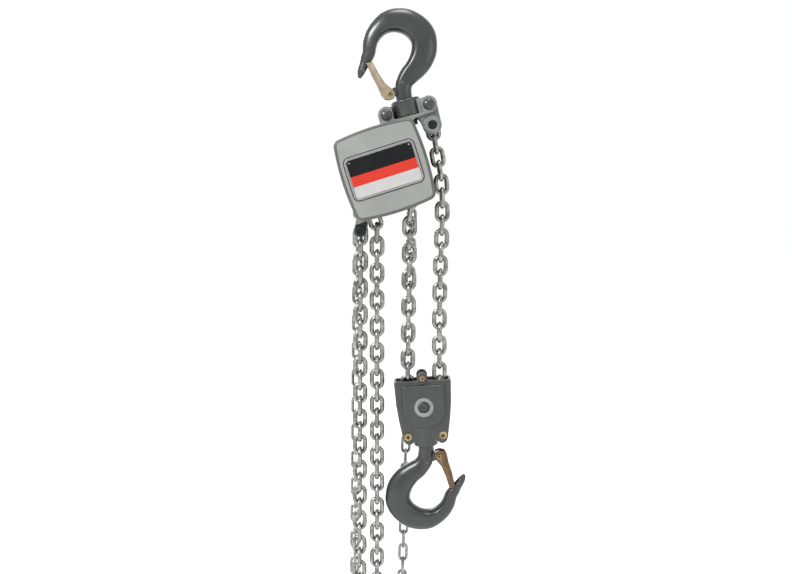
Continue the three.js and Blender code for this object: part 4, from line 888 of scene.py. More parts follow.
def coverForm(s):
    outer = bowedOutline(s["halfWidth"], s["halfHeight"], s["corner"], s["bow"])
    rim = s["face"] + s["borderStep"]
    stations = [(s["border"] + 1.2, s["face"]), (s["border"] + 0.3, s["face"]),
                (s["border"], s["face"] + 0.06), (s["border"] - 0.5, rim),
                (s["edge"] + 0.4, rim)]
    stations += [(s["edge"] * out, rim + s["edgeDepth"] * down) for out, down in quarterTurn(6)]
    lip = s["mouth"] - s["lipDepth"]
    stations += [(0, rim + s["edgeDepth"] + 1), (0, lip - 0.9), (s["lipGroove"], lip - 0.5),
                 (s["lipGroove"], lip - 0.1), (0, lip + 0.3), (0, s["mouth"] - 0.4),
                 (0.4, s["mouth"]), (s["wall"] - 0.3, s["mouth"]), (s["wall"], s["mouth"] - 0.3),
                 (s["wall"], rim + s["edgeDepth"] + 1.5), (s["wall"] + 1.0, s["face"] + 4.0),
                 (s["wall"] + 2.6, s["face"] + s["wall"] + 0.5),
                 (s["wall"] + 4.5, s["face"] + s["wall"])]
    form = loftedForm([[(x, y, z) for x, z in offsetOutline(outer, d)] for d, y in stations])
    # The rolled edge has the darker paint
    for face in form.faces:
        middle = face.calc_center_median()
        if distanceInside(outer, middle.x, middle.z) < s["border"] and middle.y < rim + s["edgeDepth"]:
            face.material_index = 1
    return form


def distanceInside(points, x, z):
    here = Vector((x, z))
    best = 1e9
    for a, b in zip(points, points[1:] + points[:1]):
        a, b = Vector(a), Vector(b)
        along = b - a
        t = max(0.0, min(1.0, (here - a).dot(along) / max(along.length_squared, 1e-9)))
        best = min(best, (here - a - along * t).length)
    return best


def ringForm(outer, inner, yFront, yBack, edge):
    # A flat frame between two outlines with the same count of points
    def both(a, b, share):
        return [(p[0] + (q[0] - p[0]) * share, p[1] + (q[1] - p[1]) * share) for p, q in zip(a, b)]

    width = (Vector(outer[0]) - Vector(inner[0])).length
    rings = [(0, yBack), (0, yFront + edge)]
    rings += [(down * edge / width, yFront + edge * out) for out, down in quarterTurn(4, 1)]
    rings += [(1 - out * edge / width, yFront + edge * down) for out, down in quarterTurn(4)]
    rings.append((1, yBack))
    return loftedForm([[(x, y, z) for x, z in both(outer, inner, share)] for share, y in rings],
                      closed=True)


def makeGearCover(s, label):
    shell = coverForm(s)
    plainFrame = roundedBox(s["frameHalfWidth"], s["frameHalfHeight"], s["frameCorner"], 10)
    frameOuter = [(x + s["frameShift"], z) for x, z in plainFrame]
    frameInner = offsetOutline(frameOuter, s["frameWidth"])
    frameRing = ringForm(frameOuter, frameInner, s["face"] - s["frameRise"], s["face"] + 0.5, 0.55)
    # Near black rings round the outside of the frame and inside it are painted shade, standing for the
    # shadow in the groove and in the gap
    grooveShadeRing = ringForm(offsetOutline(frameOuter, -s["grooveWidth"]), offsetOutline(frameOuter, 0.15),
                      s["face"] - 0.16, s["face"] + 0.3, 0.12)
    seam = ringForm(offsetOutline(frameInner, -0.15), offsetOutline(frameInner, 0.9),
                    s["face"] - 0.35, s["face"] + 0.3, 0.1)
    bosses = []
    for z, bore in s["bosses"]:
        bosses.append(turnedForm(filleted([
            (bore, s["face"] + 1.0, 0), (s["bossRadius"] + 2.5, s["face"] + 1.0, 0),
            (s["bossRadius"] + 2.5, s["face"] + 2.6, 0), (s["bossRadius"], s["face"] + 4.2, 2.0),
            (s["bossRadius"], s["bossEnd"], 0.8), (bore, s["bossEnd"], 0.5),
            (bore, s["face"] + 1.0, 0)]), 40, "Y", 0, z))
    pieces = [(shell, None), (frameRing, 0), (grooveShadeRing, 2), (seam, 2)] + [(b, 0) for b in bosses]
    cover = formObject("gearCoverShell", combined(pieces), "body")
    fitted(cover, "hoist_body", ("coverPaint", "coverEdgePaint", "paintedGrooveShade"),
           ("gear_cover",), angle=40)

    # The label: a plate with plain printed bands, held by four drive screws
    field = offsetOutline(frameInner, label["margin"])
    plate = slabForm(field, label["front"], label["back"], 0.3, 2, 0.0)
    inkField = offsetOutline(field, label["inkInset"])

    def band(top, bottom):
        # The part of the printed field between two heights
        clipped = []
        for a, b in zip(inkField, inkField[1:] + inkField[:1]):
            if bottom <= a[1] <= top:
                clipped.append(a)
            for level in ((top, bottom) if a[1] > b[1] else (bottom, top)):
                if (a[1] - level) * (b[1] - level) < 0:
                    t = (level - a[1]) / (b[1] - a[1])
                    clipped.append((a[0] + (b[0] - a[0]) * t, level))
        return slabForm(clipped, label["front"] - label["inkRise"], label["front"] + 0.3, 0.0)

    black = band(s["frameHalfHeight"], label["blackBottom"])
    red = band(label["blackBottom"] - 0.02, label["redBottom"])
    r = label["rivetRadius"]
    dome = [(0, -0.02), (r * 0.5, 0.02), (r * 0.85, 0.1), (r, 0.28), (r, 0.9), (0, 0.9)]
    parts = [(plate, 0), (black, 1), (red, 2)]
    parts += [(turnedForm(dome, 20, "Y", x, z, label["front"] - label["rivetRise"]), 3)
              for x, z in label["rivets"]]
    face = formObject("labelPlate", combined(parts), "body")
    fitted(face, "hoist_body", ("labelSilver", "labelBlack", "labelRed", "machinedSteel"),
           ("name_plate",), angle=35)


makeGearCover(coverSettings, labelSettings)
print("gear cover and label made")


# Side plates: ears for the yoke's two pins, a notch round its drum, and a lug for the slack end

plateSettings = {
    "halfWidth": 62.2, "halfHeight": 62.2, "corner": 11.0, "span": 17.0, "thickness": 5.0,
    "earRadius": 13.0, "edge": 0.7, "notchFillet": 3.0,
    "yoke": (60.355, 80.459), "yokeTurn": -3.0, "pinOffset": 33.2, "pinDrop": 3.8, "pinRadius": 6.0,
    "notchHalf": 23.3, "notchFloor": -13.5,
    "lug": (-64.8, -78.0), "lugRadius": 9.5,
    "bearing": 22.0, "stays": [(-47.0, 38.5), (46.5, -44.0)], "stayRadius": 5.0,
    "spindles": [(0.0, 28.8), (0.0, -28.8)], "spindleRadius": 4.0,
}


def fromYoke(s, x, z):
    # A point of the yoke's own front view, in the body's
    a = math.radians(s["yokeTurn"])
    return (s["yoke"][0] + x * math.cos(a) - z * math.sin(a),
            s["yoke"][1] + x * math.sin(a) + z * math.cos(a))


def plateOutline(s):
    w, h, c, ear = s["halfWidth"], s["halfHeight"], s["corner"], s["earRadius"]
    leftPin = fromYoke(s, -s["pinOffset"], -s["pinDrop"])
    rightPin = fromYoke(s, s["pinOffset"], -s["pinDrop"])
    turn = s["yokeTurn"]
    # Where the notch's walls meet the ears' round tops
    wallX = s["pinOffset"] - s["notchHalf"]
    lean = math.degrees(math.acos(min(1.0, wallX / ear)))
    lx, lz = s["lug"]
    toLug = Vector((lx + w - s["lugRadius"], lz + h - s["lugRadius"]))
    slope = math.degrees(math.atan2(toLug.y, toLug.x))
    points = [(w, -h, c), (w, h - 1.0, 9.0)]
    points += [(x, z, 0) for x, z in arcPoints(*rightPin, ear, -90 + turn, 180 - lean + turn, 26)]
    points += [(*fromYoke(s, s["notchHalf"], s["notchFloor"]), s["notchFillet"]),
               (*fromYoke(s, -s["notchHalf"], s["notchFloor"]), s["notchFillet"])]
    points += [(x, z, 0) for x, z in arcPoints(*leftPin, ear, lean + turn, 180, 22)]
    points += [(leftPin[0] - ear, h, 7.0), (-w, h, c), (-w, -h + 10, 6.0)]
    points += [(x, z, 0) for x, z in arcPoints(lx, lz, s["lugRadius"], slope - 90 + 360 * (slope < 0),
                                              slope + 90 + 360 * (slope < 0), 18)]
    side = Vector((math.cos(math.radians(slope + 90)), math.sin(math.radians(slope + 90))))
    start = Vector((lx, lz)) + side * s["lugRadius"]
    back = -toLug.normalized()
    reach = (-h - start.y) / back.y
    points.append((start.x + back.x * reach, -h, 5.0))
    return filleted(points, 6, closed=True)


def boreTool(x, z, radius, y0=-40.0, y1=40.0, segments=48):
    return turnedForm([(0, y0), (radius, y0), (radius, y1), (0, y1)], segments, "Y", x, z)


def makeSidePlates(s):
    outline = plateOutline(s)
    pins = [fromYoke(s, side * s["pinOffset"], -s["pinDrop"]) for side in (-1, 1)]
    for name, node, y in (("gearSidePlate", "gear_side_plate", -s["span"] - s["thickness"]),
                          ("wheelSidePlate", "wheel_side_plate", s["span"])):
        plate = formObject(name, slabForm(outline, y, y + s["thickness"], s["edge"], 2), "body")
        holes = [boreTool(0, 0, s["bearing"])]
        holes += [boreTool(x, z, s["pinRadius"], segments=24) for x, z in pins]
        holes += [boreTool(x, z, s["stayRadius"], segments=24) for x, z in s["stays"]]
        if y < 0:
            holes += [boreTool(x, z, s["spindleRadius"], segments=24) for x, z in s["spindles"]]
        carved(plate, [formObject("hole", hole, "body") for hole in holes])
        fitted(plate, "hoist_body", "platePaint", (node,), angle=38)


makeSidePlates(plateSettings)
print("side plates made")


# Yoke: a drum round the hook's shank with lugs between the plates, and its two domed pins

yokeSettings = {
    "drumRadius": 22.3, "drumHeight": 26.0, "rim": 1.9, "boreRadius": 9.35,
    "lugRadius": 11.5, "lugHalf": 8.0, "sleeveHalf": 16.7,
    "domeRadius": 8.9, "domeRise": 6.0, "domeFoot": 0.7, "seat": 22.3,
    "voxel": 0.7, "softening": 4,
}


def makeYoke(s, p):
    half, r = s["drumHeight"] / 2, s["drumRadius"]
    drum = turnedForm(filleted([
        (0, -half, 0), (r, -half, s["rim"]), (r, half, s["rim"]), (s["boreRadius"] + 3.4, half, 0.4),
        (s["boreRadius"] + 3.0, half - 0.7, 0.4), (0, half - 0.7, 0)], 5), 72, "Z")
    lug = slabForm(capsuleOutline(-p["pinOffset"], -p["pinDrop"], p["pinOffset"], -p["pinDrop"],
                                  s["lugRadius"]), -s["lugHalf"], s["lugHalf"], 1.5, 3)
    sleeve = turnedForm(filleted([(0, -s["sleeveHalf"], 0), (s["lugRadius"], -s["sleeveHalf"], 1.0),
                                  (s["lugRadius"], s["sleeveHalf"], 1.0), (0, s["sleeveHalf"], 0)]),
                        40, "Y", -p["pinOffset"], -p["pinDrop"])
    yoke = formObject("hookYoke", combined([(drum, 0), (lug, 0), (sleeve, 0)]), "yoke")
    meltedTogether(yoke, s["voxel"], s["softening"])
    bore = turnedForm([(0, -2 * half), (s["boreRadius"], -2 * half), (s["boreRadius"], 2 * half),
                       (0, 2 * half)], 48, "Z")
    tools = [formObject("bore", bore, "yoke")]
    tools += [formObject("bore", boreTool(side * p["pinOffset"], -p["pinDrop"], p["pinRadius"] + 0.15,
                                          segments=32), "yoke") for side in (-1, 1)]
    carved(yoke, tools)
    fitted(yoke, "hoist_body", "drumPaint", ("hook_yoke",), angle=50)
    for name, node, side in (("yokePinLeft", "yoke_pin_left", -1), ("yokePinRight", "yoke_pin_right", 1)):
        x, z = fromYoke(p, side * p["pinOffset"], -p["pinDrop"])
        head = [(0, -s["seat"] - s["domeRise"])]
        for k in range(1, 11):
            a = math.pi / 2 * k / 10
            head.append((s["domeRadius"] * math.sin(a),
                         -s["seat"] - s["domeFoot"] - (s["domeRise"] - s["domeFoot"]) * math.cos(a)))
        head += [(s["domeRadius"], -s["seat"] - 0.15), (s["domeRadius"] - 0.2, -s["seat"]),
                 (p["pinRadius"], -s["seat"])]
        tail = [(radius, -along) for radius, along in reversed(head)]
        pin = formObject(name, turnedForm(head + tail, 48, "Y", x, z), "body")
        fitted(pin, "hoist_body", "drumPaint", (node,), angle=40)


makeYoke(yokeSettings, plateSettings)
print("yoke and pins made")


# Chain anchor arm: two cheeks between the plates, and a stepped boss round the anchor pin

armSettings = {
    "outer": 16.7, "cheek": 4.0, "reach": 13.0, "boss": (89.9, 43.4), "bossRadius": 14.0,
    "bossFront": -22.3, "stepRadius": 11.9, "step": 0.6, "recess": 6.8, "recessDepth": 6.0,
    "pinRadius": 3.6, "edge": 1.0, "bridgeLow": 58.65, "bridgeHigh": 62.9,
    "underside": 14.0, "drumRoom": 23.3, "drumRoomLow": -13.5, "drumRoomHigh": 30.0, "pinEnd": 16.2,
}
boltSettings = {
    "seat": 22.3, "stayRadius": 5.0, "stayHead": 7.0, "headHeight": 4.5,
    "sleeve": 6.5, "sleeveHalf": 16.7,
    "slackRadius": 3.6, "slackHead": 8.0, "socket": 3.2,
    "bracketSlope": 64.5, "bracketRadius": 9.1, "bracketTop": -66.7, "bracketSides": (-49.8, -69.2),
    "bracketRise": 0.9,
    "guideX": -39.0, "guideRoom": 12.35, "guideWall": 3.0, "guideTop": -46.0, "guideBottom": -55.5,
}


def armOutline(s, p):
    yokeX, yokeZ = p["yoke"]
    bossX, bossZ = s["boss"]
    pinX, pinZ = fromYoke(p, p["pinOffset"], -p["pinDrop"])
    under = yokeZ - s["underside"]
    startX, startZ = yokeX + s["reach"] / 2, under - s["reach"] / 3
    endX = bossX - s["bossRadius"]
    controlX, controlZ = endX - 0.3, under - s["reach"] / 2
    curve = [tuple(a * (1 - t) ** 2 + 2 * b * t * (1 - t) + c * t * t
                   for a, b, c in ((startX, controlX, endX), (startZ, controlZ, bossZ)))
             for t in [k / 12 for k in range(12)]]
    return (curve + arcPoints(bossX, bossZ, s["bossRadius"], 180, 360, 28)
            + arcPoints(pinX, pinZ, s["reach"], 0, 90, 14) + [(startX, pinZ + s["reach"])])


def makeAnchorArm(s, p):
    outline = armOutline(s, p)
    bossX, bossZ = s["boss"]
    pinX, pinZ = fromYoke(p, p["pinOffset"], -p["pinDrop"])
    outer, inner = s["outer"], s["outer"] - s["cheek"]
    front = slabForm(outline, -outer, -inner, s["edge"], 2, 0.5)
    back = slabForm(outline, inner, outer, 0.5, 2, s["edge"])
    bridge = boxForm(pinX - s["reach"] + 1, pinX + s["reach"] / 2, -outer + 0.5, outer - 0.5,
                     s["bridgeLow"], s["bridgeHigh"], 0.6)
    f, r = s["bossFront"], s["bossRadius"]
    boss = turnedForm(filleted([
        (0, f + s["recessDepth"], 0), (s["recess"], f + s["recessDepth"], 0.3),
        (s["recess"], f + 0.8, 0), (s["recess"] + 0.8, f, 0.25), (s["stepRadius"], f, 0.3),
        (s["stepRadius"] + 0.25, f + s["step"], 0.25), (r, f + s["step"], 0.7), (r, -inner, 0),
        (0, -inner, 0)], 4), 64, "Y", bossX, bossZ)
    arm = formObject("anchorArm", combined([(front, 0), (back, 0), (bridge, 0), (boss, 0)]), "body")
    clear = turnedForm([(0, s["drumRoomLow"]), (s["drumRoom"], s["drumRoomLow"]),
                        (s["drumRoom"], s["drumRoomHigh"]), (0, s["drumRoomHigh"])], 64, "Z")
    carved(arm, [formObject("drumRoom", clear, "yoke"),
                 formObject("bore", boreTool(pinX, pinZ, p["pinRadius"] + 0.1, segments=32), "body"),
                 formObject("bore", boreTool(bossX, bossZ, s["pinRadius"] + 0.1, segments=24), "body")],
           overlapping=True)
    fitted(arm, "hoist_body", "armPaint", ("chain_anchor_arm",), angle=38)
    # The pin that holds the dead end sits deep in the boss's recess
    seat = f + s["recessDepth"] - 0.3
    head = s["recess"] - 0.35
    pin = turnedForm(filleted([
        (0, seat - 1.4, 0), (1.8, seat - 1.4, 0.2), (2.2, seat - 2.6, 0.3), (head - 0.6, seat - 3.0, 0.3),
        (head, seat - 2.4, 0.3), (head, seat, 0), (s["pinRadius"], seat, 0),
        (s["pinRadius"], s["pinEnd"], 0.5), (0, s["pinEnd"], 0)], 3), 40, "Y", bossX, bossZ)
    placed("anchorPin", pin, "body", "blackSteel", ("anchor_pin",), angle=38)


def hexOutline(radius, x, z, turn=0.0):
    return [(x + radius * math.cos(math.radians(60 * k + turn)),
             z + radius * math.sin(math.radians(60 * k + turn))) for k in range(6)]


def makeBodyBolts(s, p):
    for name, node, (x, z) in (("stayBoltUpper", "stay_bolt_upper_left", p["stays"][0]),
                               ("stayBoltLower", "stay_bolt_lower_right", p["stays"][1])):
        stay = s["stayRadius"] - 0.1
        parts = [(turnedForm([(0, -s["seat"]), (stay, -s["seat"]), (stay, -s["sleeveHalf"]),
                              (s["sleeve"], -s["sleeveHalf"]), (s["sleeve"], s["sleeveHalf"]),
                              (stay, s["sleeveHalf"]), (stay, s["seat"]), (0, s["seat"])],
                             32, "Y", x, z), 0)]
        for side in (-1, 1):
            y0, y1 = sorted((side * s["seat"], side * (s["seat"] + s["headHeight"])))
            parts.append((slabForm(hexOutline(s["stayHead"], x, z, 12), y0, y1, 0.5, 2), 0))
        placed(name, combined(parts), "body", "machinedSteel", (node,), angle=30)
    lugX, lugZ = p["lug"]
    r, seat, high = s["slackHead"], s["seat"], s["headHeight"]
    socket = s["socket"]
    head = filleted([
        (0, -seat - 1.6, 0), (socket - 0.6, -seat - 1.6, 0.2), (socket, -seat - high + 0.5, 0.3),
        (socket + 0.5, -seat - high, 0.3), (r - 0.9, -seat - high, 1.2), (r, -seat - 1.4, 0.8),
        (r, -seat, 0.2), (s["slackRadius"], -seat, 0)], 4)
    tail = [(radius, -along) for radius, along in reversed(head)]
    slack = turnedForm(head + tail, 44, "Y", lugX, lugZ)
    placed("slackAnchorBolt", slack, "body", "blackSteel",
           ("slack_anchor_bolt",), angle=34)
    # A thin plate under its head, along the lug and clear of the gear cover, in black: painted shade where
    # the lug lies in shadow
    slope, reach = s["bracketSlope"], s["bracketRadius"]
    points = [(x, z, 0) for x, z in arcPoints(lugX, lugZ, reach, slope + 90, slope + 270, 24)]
    points += [(x, s["bracketTop"], 0.8) for x in s["bracketSides"]]
    lugShadePlate = slabForm(filleted(points, 3, closed=True), -seat - s["bracketRise"], -seat - 0.02, 0.3, 2)
    placed("slackLugShadePlate", lugShadePlate, "body", "blackSteel",
           angle=38)
    # The guide is a frame whose mouth flares for the links
    room, wall, half = s["guideRoom"], s["guideWall"], s["sleeveHalf"]
    outer = roundedBox(room + wall, half, 2.0, 5)
    rings = []
    for inset, z in ((0.6, s["guideTop"]), (0, s["guideTop"] - 0.6), (0, s["guideBottom"] + 0.6),
                     (0.6, s["guideBottom"])):
        rings.append([(s["guideX"] + a, b, z) for a, b in offsetOutline(outer, inset)])
    inner = roundedBox(room, room, 2.6, 5)
    for grow, z in ((1.5, s["guideBottom"]), (0.4, s["guideBottom"] + 1.2), (0, s["guideBottom"] + 3.0),
                    (0, s["guideTop"] - 3.0), (0.4, s["guideTop"] - 1.2), (1.5, s["guideTop"])):
        rings.append([(s["guideX"] + a, b, z) for a, b in offsetOutline(inner, -grow)])
    guide = loftedForm(rings, closed=True)
    placed("chainGuide", guide, "body", "blackSteel", ("chain_guide",), angle=38)


makeAnchorArm(armSettings, plateSettings)
makeBodyBolts(boltSettings, plateSettings)
print("anchor arm, bolts and guide made")


# Bottom block: two cast halves with a raised face, an axle, three bolts and a neck for the hook

blockSettings = {
    "top": 41.5, "depth": 17.0, "seam": 0.15, "wall": 1.8, "edge": 2.4,
    "side": [(16.8, -54.0, 4), (36.7, -47.7, 5), (40.8, -22.8, 14), (43.9, 4.2, 20), (45.3, 41.5, 2.5)],
    "faceRadius": 33.6, "faceRise": 7.0, "faceTop": 35.0, "faceEdge": 3.2,
    "neckRadius": 19.6, "lugDrop": 5.4, "neckBottom": -66.0, "neckTop": -27.0,
    "nutRadius": 11.9, "nutTop": -31.5, "nutFloor": -57.5,
    "shankRadius": 9.4, "cavity": 40.4, "faceCavity": 28.2, "mouthHalf": 41.7, "mouthDepth": 12.85,
    "bolts": [(-27.7, -47.6), (27.7, -47.6)], "lug": 9.0, "boltRadius": 3.5,
    "webHalf": 27.0, "web": (-56.4, -44.0),
    "topBolt": (0.0, 45.6), "topLug": 8.9,
    "washer": 15.2, "washerRise": 1.3, "axle": 8.6, "voxel": 0.85, "softening": 5,
}
blockBoltSettings = {"head": 6.4, "washer": 6.6, "washerHeight": 1.0, "headHeight": 3.0, "seat": 17.3,
                     "shank": 3.3, "socket": 2.3, "topHead": 4.6}


def rodForm(x, z, radius, y0, y1, edge=0.0, segments=48):
    return turnedForm(filleted([(0, y0, 0), (radius, y0, edge), (radius, y1, edge), (0, y1, 0)], 4),
                      segments, "Y", x, z)


def halved(form, y):
    # Keeps what lies in front of y, and closes the cut
    geometry = list(form.verts) + list(form.edges) + list(form.faces)
    bmesh.ops.bisect_plane(form, geom=geometry, plane_co=(0, y, 0), plane_no=(0, 1, 0), clear_outer=True)
    bmesh.ops.contextual_create(form, geom=[e for e in form.edges if e.is_boundary])
    return tidied(form)


def makeBlock(s):
    right = s["side"]
    outline = filleted(right + [(-x, z, r) for x, z, r in reversed(right)], 6, closed=True)
    r = s["faceRadius"]
    face = filleted([(x, z, 0) for x, z in arcPoints(0, 0, r, 180, 360, 40)]
                    + [(r, s["faceTop"], 3.0), (-r, s["faceTop"], 3.0)], 5, closed=True)
    for side, name, node in ((-1, "blockFrontHalf", "block_front_half"),
                             (1, "blockRearHalf", "block_rear_half")):
        depth, high = s["depth"], s["depth"] + s["faceRise"]
        shape = [slabForm(outline, -depth, -s["seam"], s["edge"], 3, 0.0),
                 slabForm(face, -high, -depth + 3, s["faceEdge"], 4, 0.0),
                 rodForm(*s["topBolt"], s["topLug"], -depth + 0.4, -s["seam"], 1.4)]
        shape += [rodForm(x, z, s["lug"], -depth, -s["seam"], 1.6) for x, z in s["bolts"]]
        shape.append(boxForm(-s["webHalf"], s["webHalf"], -depth + 1.6, -s["seam"], *s["web"], 0.6))
        shape += [slabForm(capsuleOutline(x, z, x * 0.95, z - s["lugDrop"], s["lug"]), -depth + 1.0,
                           -s["seam"], 1.6, 3, 0.0) for x, z in s["bolts"]]
        neck = turnedForm(filleted([(0, s["neckBottom"], 0), (s["neckRadius"], s["neckBottom"], 1.4),
                                    (s["neckRadius"], s["neckTop"], 3.0), (0, s["neckTop"], 0)]), 64, "Z")
        shape.append(halved(neck, -s["seam"]))
        half = combined([(form, 0) for form in shape])
        if side > 0:
            half = moved(half, Matrix.Rotation(math.pi, 4, "Z"))
        half = formObject(name, half, "block")
        meltedTogether(half, s["voxel"], s["softening"])
        tools = [rodForm(0, 0, s["cavity"], -depth + s["wall"], depth - s["wall"], 1.5, 72),
                 rodForm(0, 0, s["faceCavity"], -high + s["wall"], high - s["wall"], 1.5, 64),
                 boxForm(-s["mouthHalf"], s["mouthHalf"], -s["mouthDepth"], s["mouthDepth"], 0, 60, 1.5),
                 turnedForm([(0, s["nutFloor"]), (s["nutRadius"], s["nutFloor"]),
                             (s["nutRadius"], s["nutTop"]), (0, s["nutTop"])], 40, "Z"),
                 turnedForm([(0, -80), (s["shankRadius"], -80), (s["shankRadius"], -30), (0, -30)],
                            40, "Z")]
        tools += [boreTool(x, z, s["boltRadius"], segments=20) for x, z in s["bolts"] + [s["topBolt"]]]
        tools.append(boreTool(0, 0, s["axle"] + 0.3, segments=40))
        carved(half, [formObject("tool", tool, "block") for tool in tools])
        fitted(half, "bottom_block", "castPaint", (node,), angle=40)
        # A bright washer ring round the axle's end
        y0, hole = s["depth"] + s["faceRise"], s["axle"] + 0.4
        ring = turnedForm([(a, side * b) for a, b in filleted([
            (hole, y0 - 1.0, 0), (s["washer"], y0 - 1.0, 0), (s["washer"], y0 + s["washerRise"], 0.7),
            (hole + 1.0, y0 + s["washerRise"], 0.5), (hole, y0 + 0.2, 0.2)], 4, closed=True)
            + [(hole, y0 - 1.0)]], 72, "Y")
        placed(name + "Washer", ring, "block", "washerSteel",
               angle=40)
    end = s["depth"] + s["faceRise"]
    profile = filleted([(0, -end + 0.5, 0), (2.2, -end + 0.5, 0.3), (2.9, -end - 0.15, 0.3),
                        (s["axle"] - 1.6, -end - 0.35, 0.6), (s["axle"] - 0.3, -end + 0.5, 0.6),
                        (s["axle"] - 0.3, 0, 0)], 4)
    axle = turnedForm(profile + [(radius, -along) for radius, along in reversed(profile[:-1])], 56, "Y")
    placed("blockAxle", axle, "block", "axleSteel", ("block_axle",), angle=36)


def hexBoltParts(s, head, x, z, seat):
    # A hexagon head on a washer at each end, dished in the middle
    parts = []
    hexagon = hexOutline(head, x, z, 8)
    washerTop = seat + s["washerHeight"]
    top = washerTop + s["headHeight"]
    washer = filleted([(0, seat, 0), (head + 0.2, seat, 0.2), (head + 0.2, washerTop, 0.3),
                       (0, washerTop, 0)], 3)
    for side in (-1, 1):
        rings = [[(a, side * y, b) for a, b in offsetOutline(hexagon, inset)]
                 for inset, y in ((0, washerTop), (0, top - 0.9), (0.55, top), (head * 0.34, top),
                                  (head * 0.44, top - 0.3), (head * 0.52, top - 1.6))]
        parts.append((loftedForm(rings), 0))
        parts.append((turnedForm([(a, side * b) for a, b in washer], 32, "Y", x, z), 0))
    shank = [(0, -seat - 0.4), (s["shank"], -seat - 0.4), (s["shank"], seat + 0.4), (0, seat + 0.4)]
    parts.append((turnedForm(shank, 24, "Y", x, z), 0))
    return parts


def makeBlockBolts(s, b):
    for name, node, place, head in (("blockBoltLeft", "block_bolt_left", b["bolts"][0], s["head"]),
                                    ("blockBoltRight", "block_bolt_right", b["bolts"][1], s["head"]),
                                    ("blockTopBolt", "block_top_bolt", b["topBolt"], s["topHead"])):
        bolt = formObject(name, combined(hexBoltParts(s, head, *place, s["seat"])), "block")
        fitted(bolt, "bottom_block", "yellowZinc", (node,), angle=30)


makeBlock(blockSettings)
makeBlockBolts(blockBoltSettings, blockSettings)
print("bottom block made")


# Safety latches: pressed channels that straddle the hook's lug, each on its own bolt

latchSettings = {
    "reach": 27.3, "inside": 8.5, "wall": 1.6, "edge": 0.55,
    "pivot": (-0.81, -2.29), "pin": 2.8,
    "outline": [(-1.32, -0.33, 0.5), (-1.15, -1.03, 8), (-0.93, -1.65, 8), (-0.62, -2.07, 5),
                (-0.55, -2.29, 3), (-0.62, -2.53, 3), (-0.88, -2.58, 3), (-1.17, -2.51, 4),
                (-1.32, -2.2, 6), (-1.39, -1.69, 10), (-1.56, -1.03, 10), (-1.67, -0.33, 1.5)],
    "pocket": [(-1.38, 0.0, 0), (-1.22, -1.04, 3), (-1.03, -1.58, 2), (-0.96, -1.7, 0), (-0.37, -1.5, 0),
               (-0.37, -2.75, 0), (-1.83, -2.75, 0), (-1.83, 0.0, 0)],
}
latchBoltSettings = {"seat": 10.4, "head": 4.1, "headHeight": 2.5, "washerHeight": 0.7, "shank": 2.7}


def makeLatch(s, bolt, prefix, group, finish):
    def scaled(rows, steps):
        return filleted([(x * s["reach"], z * s["reach"], r) for x, z, r in rows], steps, closed=True)

    side = s["inside"] + s["wall"]
    plate = slabForm(scaled(s["outline"], 5), -side, side, s["edge"], 2)
    latch = formObject(prefix + "LatchPlate", plate, group)
    pivotX, pivotZ = s["pivot"][0] * s["reach"], s["pivot"][1] * s["reach"]
    carved(latch, [formObject("pocket", slabForm(scaled(s["pocket"], 4), -s["inside"], s["inside"], 0.0),
                              group),
                   formObject("bore", boreTool(pivotX, pivotZ, s["pin"] + 0.1, segments=24), group)])
    fitted(latch, prefix + "_latch", finish, (prefix + "_latch",), angle=35)
    parts = hexBoltParts(bolt, bolt["head"], pivotX, pivotZ, bolt["seat"])
    made = formObject(prefix + "LatchBolt", combined(parts), group)
    fitted(made, prefix + "_hook", "yellowZinc",
           (prefix + "_latch_bolt",), angle=30)


makeLatch(latchSettings, latchBoltSettings, "top", "topHook", "paleBrass")
makeLatch(latchSettings, latchBoltSettings, "bottom", "bottomHook", "bronzePlate")
print("latches made")


# Hand wheel cover: a deep drawn shell with a pressed ring on its back and a mouth for the chain

wheelCoverSettings = {
    "halfWidth": 57.0, "halfHeight": 54.8, "corner": 10.0, "wall": 2.0, "front": 22.3, "back": 95.3,
    "round": 7.0, "lip": 1.2, "lipDepth": 3.0, "plane": 72.0, "mouthDepth": 12.5,
    "mouthTop": -22.0, "mouthLeft": 8.0, "mouthRight": 50.0,
    "ringOuter": 38.0, "ringInner": 30.0, "ringDepth": 1.6, "dish": 12.0, "dishDepth": 1.2,
    "spacing": 3.5,
    "screws": [(-44.0, 42.0), (44.0, 42.0), (-44.0, -42.0), (44.0, -42.0)],
}


def subdivided(points, spacing):
    made = []
    for i, (x0, z0) in enumerate(points):
        x1, z1 = points[(i + 1) % len(points)]
        steps = max(1, math.ceil(math.hypot(x1 - x0, z1 - z0) / spacing))
        made += [(x0 + (x1 - x0) * k / steps, z0 + (z1 - z0) * k / steps) for k in range(steps)]
    return made


